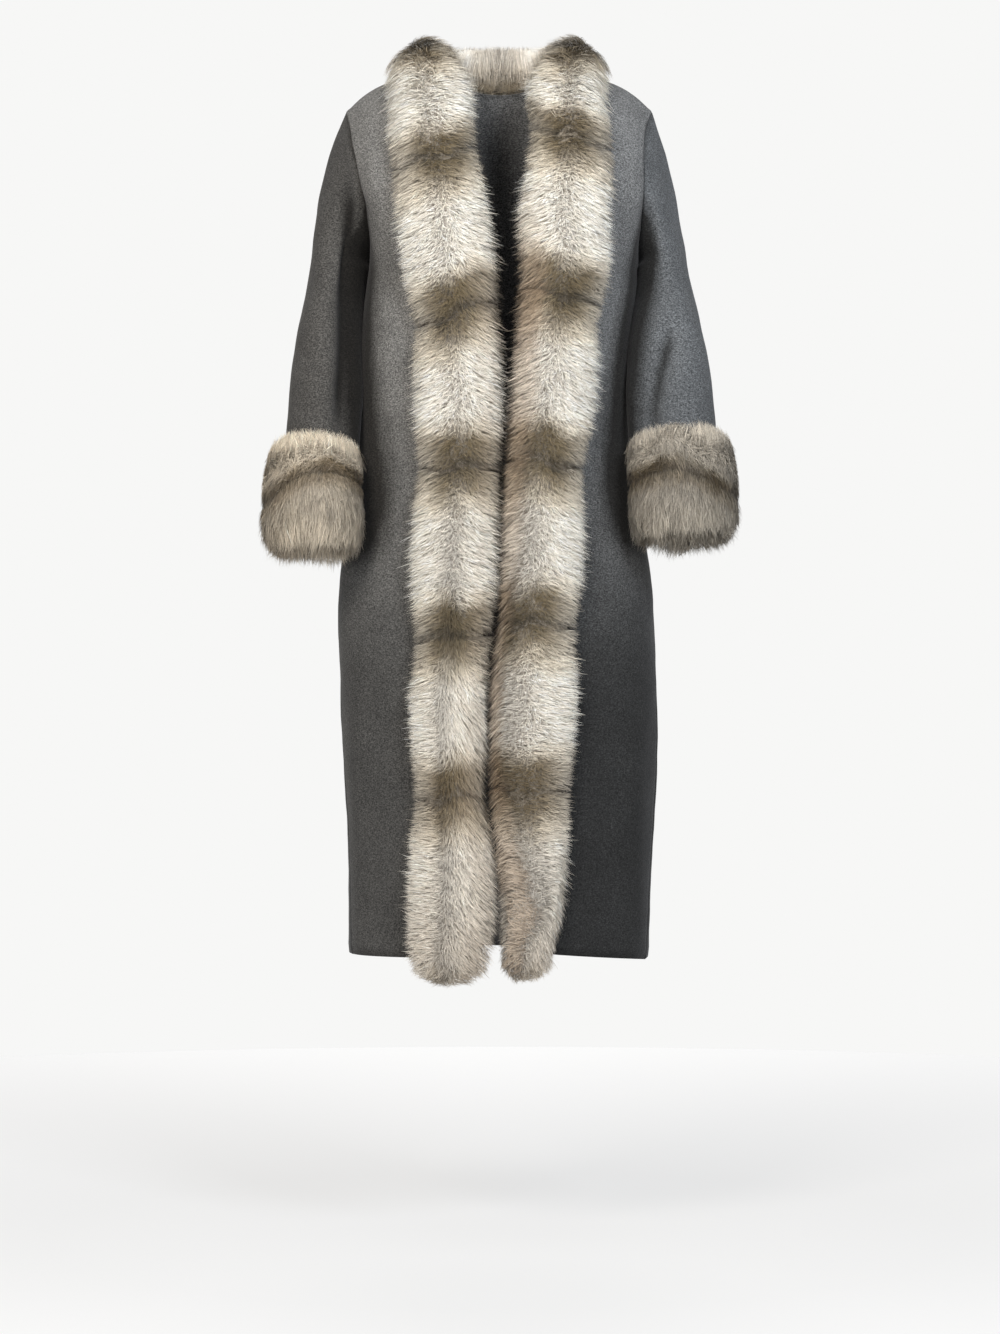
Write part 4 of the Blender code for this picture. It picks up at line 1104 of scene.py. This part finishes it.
def collar_fur():
    """The collar's fur: it parts near its top edge and runs from the middle of the back to the shoulders."""
    settings = bpy.context.scene.coat_fur
    name = "fur_collar"
    fur = roll(name, lambda middle: (-middle[0], -0.02 - middle[1], 0.12))
    last = fur["layers"].max()
    fur["along"] = fur["layers"] / last
    rng = np.random.default_rng(SEED + 4)
    keep = open_faces(fur, solids_tree(WOOL_NODES))
    keep &= ~np.isin(fur["layers"][fur["faces"]], (0, last)).any(axis=1)
    found = scatter(fur, keep, settings.collar_hairs, rng)
    points, place, along = found["points"], found["place"], found["along"]
    count = len(place)
    order = sorted(fur["middles"])
    line = np.array([fur["middles"][k] for k in order])
    tangents = unit(np.gradient(line, axis=0))
    run = np.stack([np.interp(along * last, order, tangents[:, k]) for k in range(3)], axis=1)
    run *= np.sign(along - 0.5)[:, None]
    parting = 0.36 + 0.04 * waves(points, 0.06, 31)
    away, spread = parted(place, parting)
    swirl = 0.4 * waves(points, 0.045, 35)
    flow = found["across"] * (away * (0.30 + 0.8 * spread) + swirl * (1.1 - spread))[:, None]
    flow += run * 0.45 - np.array([0.0, 0.0, 0.35])
    flow += rng.normal(0.0, 0.38, size=(count, 3)) * (1.15 - 0.8 * spread)[:, None]
    reach = settings.hair_reach * rng.uniform(0.65, 1.2, size=(count, 1)) * (0.65 + 0.45 * spread)[:, None]
    edge = edge_share(place, 0.30, 0.2)[:, None]
    lift = rng.uniform(-0.0015, 0.0045, size=(count, 1))
    stray = found["across"] * np.sign(place - 0.5)[:, None] * edge * rng.uniform(0.0, 0.007, size=(count, 1))
    length = np.linalg.norm(np.diff(line, axis=0), axis=1).sum()
    lines = [np.full(count, share * length) for share in COLLAR_LINES]
    distance = -nearest_line(lines, along * length) * np.sign(0.5 - along)
    distance += 0.006 * waves(points, 0.03, 33) + rng.normal(0.0, 0.003, count)
    middle = 0.85 * np.exp(-((np.abs(place - 0.5) / 0.36) ** 2.6))
    colour = pelt_colour(distance, settings, middle, np.full(count, 0.08))
    # Painted shade: darker roots, most near the parting.
    root_shade = (0.45 + 0.30 * ease(spread * 1.25))[:, None]
    grow("fur_hair_collar", name, found, flow, reach, lift, stray, colour, root_shade, rng)
    under = np.tile(np.array(settings.beige) * 0.55, (len(fur["points"]), 1))
    skin("fur_skin_collar", fur, under)


def cuff_flow(found, centre, sign, rng):
    """Which way a cuff's hair is combed: down to the wrist, and up over its upper edge."""
    points, place = found["points"], found["place"]
    run = unit(np.cross((0.0, 0.0, 1.0), points - centre))
    way = 1.0 - 1.5 * ease((0.15 - place) / 0.12)
    swirl = 0.45 * waves(points * (1.0, 1.0, 0.6), 0.05, 41 + sign)
    flow = found["across"] * way[:, None] + run * swirl[:, None]
    flow[:, 0] += np.clip((points[:, 0] - centre[0]) * 14.0, -0.9, 0.9) * ease((place - 0.3) / 0.4)
    return flow + rng.normal(0.0, 0.40, size=(len(place), 3))


def cuff_stray(found, rng):
    """How far a cuff's hairs stand up, and how they stray at its edges, most at the lower one."""
    points, place = found["points"], found["place"]
    count = len(place)
    lower = ease((place - 0.5) / 0.4)[:, None]
    edge = edge_share(place, 0.34, 0.16)[:, None]
    lift = rng.uniform(-0.002, 0.004, size=(count, 1)) + lower * rng.uniform(0.0, 0.003, size=(count, 1))
    stray = found["across"] * np.sign(place - 0.5)[:, None] * edge * rng.uniform(0.0, 0.009, size=(count, 1))
    stray += found["normals"] * lower * 0.010 * rng.random((count, 1)) ** 3
    drop = ease((place - 0.8) / 0.2) * (0.004 + 0.007 * waves(points, 0.035, 49)) * rng.random(count)
    stray += found["across"] * drop[:, None]
    return lift, stray


def cuff_colour(found, side, distance):
    """The colours of a cuff's hairs: a pelt's own, paler at the edges and darker below its line, all darkened
    by painted shade.
    """
    points, place = found["points"], found["place"]
    middle = 0.60 + 0.25 * waves(points, 0.05, 47) + 0.25 * ease((0.25 - np.abs(points[:, 0])) / 0.05)
    warm = np.full(len(place), 0.22)
    colour = pelt_colour(distance, bpy.context.scene.coat_fur, np.clip(middle, 0.2, 1.0), warm)
    rims = 1 + 0.45 * ease((place - 0.78) / 0.2) + 0.40 * ease((0.24 - place) / 0.2)
    tufts = np.exp(0.22 * waves(points * (1.0, 1.0, 0.4), 0.009, 53 + SIDES[side]))
    shade = tufts * rims * (1 - 0.26 * ease((place - 0.38) / 0.14))
    return colour * (np.array(CUFF_SHADE[side]) * shade[:, None])


def cuff_fur(side):
    """A cuff's fur: it runs down to the wrist, with one dark line round it."""
    settings = bpy.context.scene.coat_fur
    sign = SIDES[side]
    name = "fur_cuff_" + side
    fur = roll(name, lambda middle: (0.0, 0.25, 0.97))
    fur["along"] = fur["place"]
    rng = np.random.default_rng(SEED + 6 + (sign > 0))
    found = scatter(fur, open_faces(fur, solids_tree(WOOL_NODES)), settings.cuff_hairs, rng)
    points = found["points"]
    count = len(points)
    flow = cuff_flow(found, fur["points"].mean(axis=0), sign, rng)
    reach = settings.hair_reach * rng.uniform(0.6, 1.2, size=(count, 1))
    lift, stray = cuff_stray(found, rng)
    line = np.interp(np.abs(points[:, 0]), *np.array(CUFF_LINES[side]).T)
    line -= CUFF_TILT * (points[:, 1] - CUFF_FRONT) + 0.002 * waves(points, 0.05, 43)
    distance = line - points[:, 2]
    points -= found["normals"] * (GROOVE * np.exp(-((distance / 0.006) ** 2)))[:, None]
    reach = short_of_line(reach, distance, 1.4, 0.006)
    distance = distance * np.where(distance < 0, 3.0, 2.3)
    distance += 0.004 * waves(points, 0.03, 45) + rng.normal(0.0, 0.003, count)
    colour = cuff_colour(found, side, distance)
    # Painted shade: dark roots deep in the cuff's fur.
    root_shade = 0.16 + 0.22 * rng.random((count, 1))
    locks = (0.08, 0.60)
    grow("fur_hair_cuff_" + side, name, found, flow, reach, lift, stray, colour, root_shade, rng, locks)
    under = np.tile(np.array(settings.brown) * 0.6, (len(fur["points"]), 1))
    skin("fur_skin_cuff_" + side, fur, under)


# ---------------------------------------------------------------- operators
class COAT_OT_body(bpy.types.Operator):
    """Makes the back and the two fronts"""

    bl_idname = "coat.body"
    bl_label = "Back and fronts"

    def execute(self, context):
        BODY_EDGES.clear()
        for name in BODY:
            make_cloth(name, BODY_CREASES)
        return {"FINISHED"}


class COAT_OT_sleeves(bpy.types.Operator):
    """Makes the two sleeves"""

    bl_idname = "coat.sleeves"
    bl_label = "Sleeves"

    def execute(self, context):
        for side, sign in SIDES.items():
            make_cloth("sleeve_" + side, SLEEVE_CREASES[side], sign)
        return {"FINISHED"}


class COAT_OT_front_fur(bpy.types.Operator):
    """Grows the fur down both fronts"""

    bl_idname = "coat.front_fur"
    bl_label = "Fur of the fronts"

    def execute(self, context):
        settings = context.scene.coat_fur
        hair_material("fur_hair", settings.beige)
        skin_material("fur_skin", settings.brown)
        for side in SIDES:
            front_fur(side)
        return {"FINISHED"}


class COAT_OT_collar_fur(bpy.types.Operator):
    """Grows the fur of the collar"""

    bl_idname = "coat.collar_fur"
    bl_label = "Fur of the collar"

    def execute(self, context):
        collar_fur()
        return {"FINISHED"}


class COAT_OT_cuff_fur(bpy.types.Operator):
    """Grows the fur of both cuffs"""

    bl_idname = "coat.cuff_fur"
    bl_label = "Fur of the cuffs"

    def execute(self, context):
        for side in SIDES:
            cuff_fur(side)
        return {"FINISHED"}


def area_light(name, place, aim, size, power, colour):
    """A soft square light."""
    data = bpy.data.lights.new(name, "AREA")
    data.shape = "SQUARE"
    data.size = size
    data.energy = power
    data.color = colour
    light = placed(name, data)
    light.location = place
    light.rotation_euler = (Vector(aim) - Vector(place)).to_track_quat("-Z", "Y").to_euler()


def make_floor(settings):
    """A round floor that glows a little more towards its edge, so that it meets the background."""
    bm = bmesh.new()
    bmesh.ops.create_circle(bm, cap_ends=True, radius=FLOOR_RADIUS, segments=96)
    bmesh.ops.translate(bm, verts=bm.verts, vec=(0.0, 0.0, settings.floor_height))
    mesh = bpy.data.meshes.new("floor")
    bm.to_mesh(mesh)
    bm.free()
    floor = placed("floor", mesh)
    material, tree, shader = new_material("floor", FLOOR_TONE, 0.9)
    shader.inputs["Base Color"].default_value = (*FLOOR_TONE, 1.0)
    flat = node(tree, "ShaderNodeVectorMath", operation="MULTIPLY")
    flat.inputs[1].default_value = (1.0, 1.0, 0.0)
    tree.links.new(node(tree, "ShaderNodeTexCoord").outputs["Object"], flat.inputs[0])
    away = node(tree, "ShaderNodeVectorMath", operation="LENGTH")
    tree.links.new(flat.outputs["Vector"], away.inputs[0])
    (start, inner), (end, outer) = FLOOR_GLOW
    share = node(tree, "ShaderNodeMapRange", From_Min=start, From_Max=end)
    tree.links.new(away.outputs["Value"], share.inputs[0])
    glow = ramp(tree, share.outputs["Result"], (0.0, inner), (1.0, outer))
    tree.links.new(glow, shader.inputs["Emission Color"])
    shader.inputs["Emission Strength"].default_value = 1.0
    mesh.materials.append(material)


def make_background(settings):
    """The studio behind the coat: pale, and darker high up and towards the viewer."""
    world = bpy.data.worlds.new("studio")
    bpy.context.scene.world = world
    world.use_nodes = True
    tree = world.node_tree
    ground = tree.nodes["Background"]
    coords = node(tree, "ShaderNodeTexCoord").outputs["Generated"]
    split = node(tree, "ShaderNodeSeparateXYZ")
    tree.links.new(coords, split.inputs[0])
    back = tuple(settings.background)
    sky = ramp(tree, split.outputs["Z"], (0.0, back), (0.18, back), (0.34, tuple(0.30 * c for c in back)))
    sides = ramp(tree, split.outputs["Y"], (0.35, (0.50, 0.50, 0.50)), (0.90, (1.0, 1.0, 1.0)))
    tree.links.new(mixed(tree, "MULTIPLY", 1.0, sky, sides), ground.inputs["Color"])
    ground.inputs["Strength"].default_value = 1.0


def make_camera():
    """The camera straight in front, as the photograph was taken."""
    data = bpy.data.cameras.new("camera")
    data.sensor_fit = "AUTO"
    data.sensor_width = 36.0
    data.lens = CAMERA_LENS
    camera = placed("camera", data)
    camera.location = CAMERA_PLACE
    camera.rotation_euler = (math.pi / 2, 0.0, 0.0)
    bpy.context.scene.camera = camera
    bpy.context.scene.view_settings.view_transform = "Standard"


class COAT_OT_stage(bpy.types.Operator):
    """Makes the floor, the light and the camera"""

    bl_idname = "coat.stage"
    bl_label = "Stage"

    def execute(self, context):
        settings = context.scene.coat_stage
        make_floor(settings)
        make_background(settings)
        for name, place, aim, size, share, colour in LIGHTS:
            area_light(name, place, aim, size, settings.key_power * share, colour)
        make_camera()
        return {"FINISHED"}


class COAT_PT_panel(bpy.types.Panel):
    """The coat's steps and settings"""

    bl_idname = "COAT_PT_panel"
    bl_label = "Fur-trimmed coat"
    bl_space_type = "VIEW_3D"
    bl_region_type = "UI"
    bl_category = "Coat"

    def draw(self, context):
        for group, operators in (
            ("coat_cloth", (COAT_OT_body, COAT_OT_sleeves)),
            ("coat_fur", (COAT_OT_front_fur, COAT_OT_collar_fur, COAT_OT_cuff_fur)),
            ("coat_stage", (COAT_OT_stage,)),
        ):
            box = self.layout.box()
            settings = getattr(context.scene, group)
            for name in settings.__annotations__:
                box.prop(settings, name)
            for operator in operators:
                box.operator(operator.bl_idname)


CLASSES = (
    CoatClothSettings,
    CoatFurSettings,
    CoatStageSettings,
    COAT_OT_body,
    COAT_OT_sleeves,
    COAT_OT_front_fur,
    COAT_OT_collar_fur,
    COAT_OT_cuff_fur,
    COAT_OT_stage,
    COAT_PT_panel,
)
GROUPS = {"coat_cloth": CoatClothSettings, "coat_fur": CoatFurSettings, "coat_stage": CoatStageSettings}


def register():
    """Makes the settings, operators and panel known."""
    for kind in CLASSES:
        bpy.utils.register_class(kind)
    for name, kind in GROUPS.items():
        setattr(bpy.types.Scene, name, bpy.props.PointerProperty(type=kind))


def unregister():
    """Takes the settings, operators and panel away again."""
    for name in GROUPS:
        delattr(bpy.types.Scene, name)
    for kind in reversed(CLASSES):
        bpy.utils.unregister_class(kind)


def main():
    """Builds the whole coat and its stage."""
    register()
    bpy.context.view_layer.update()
    bpy.ops.coat.stage()
    bpy.ops.coat.body()
    bpy.ops.coat.sleeves()
    bpy.ops.coat.front_fur()
    bpy.ops.coat.collar_fur()
    bpy.ops.coat.cuff_fur()


if __name__ == "__main__":
    main()
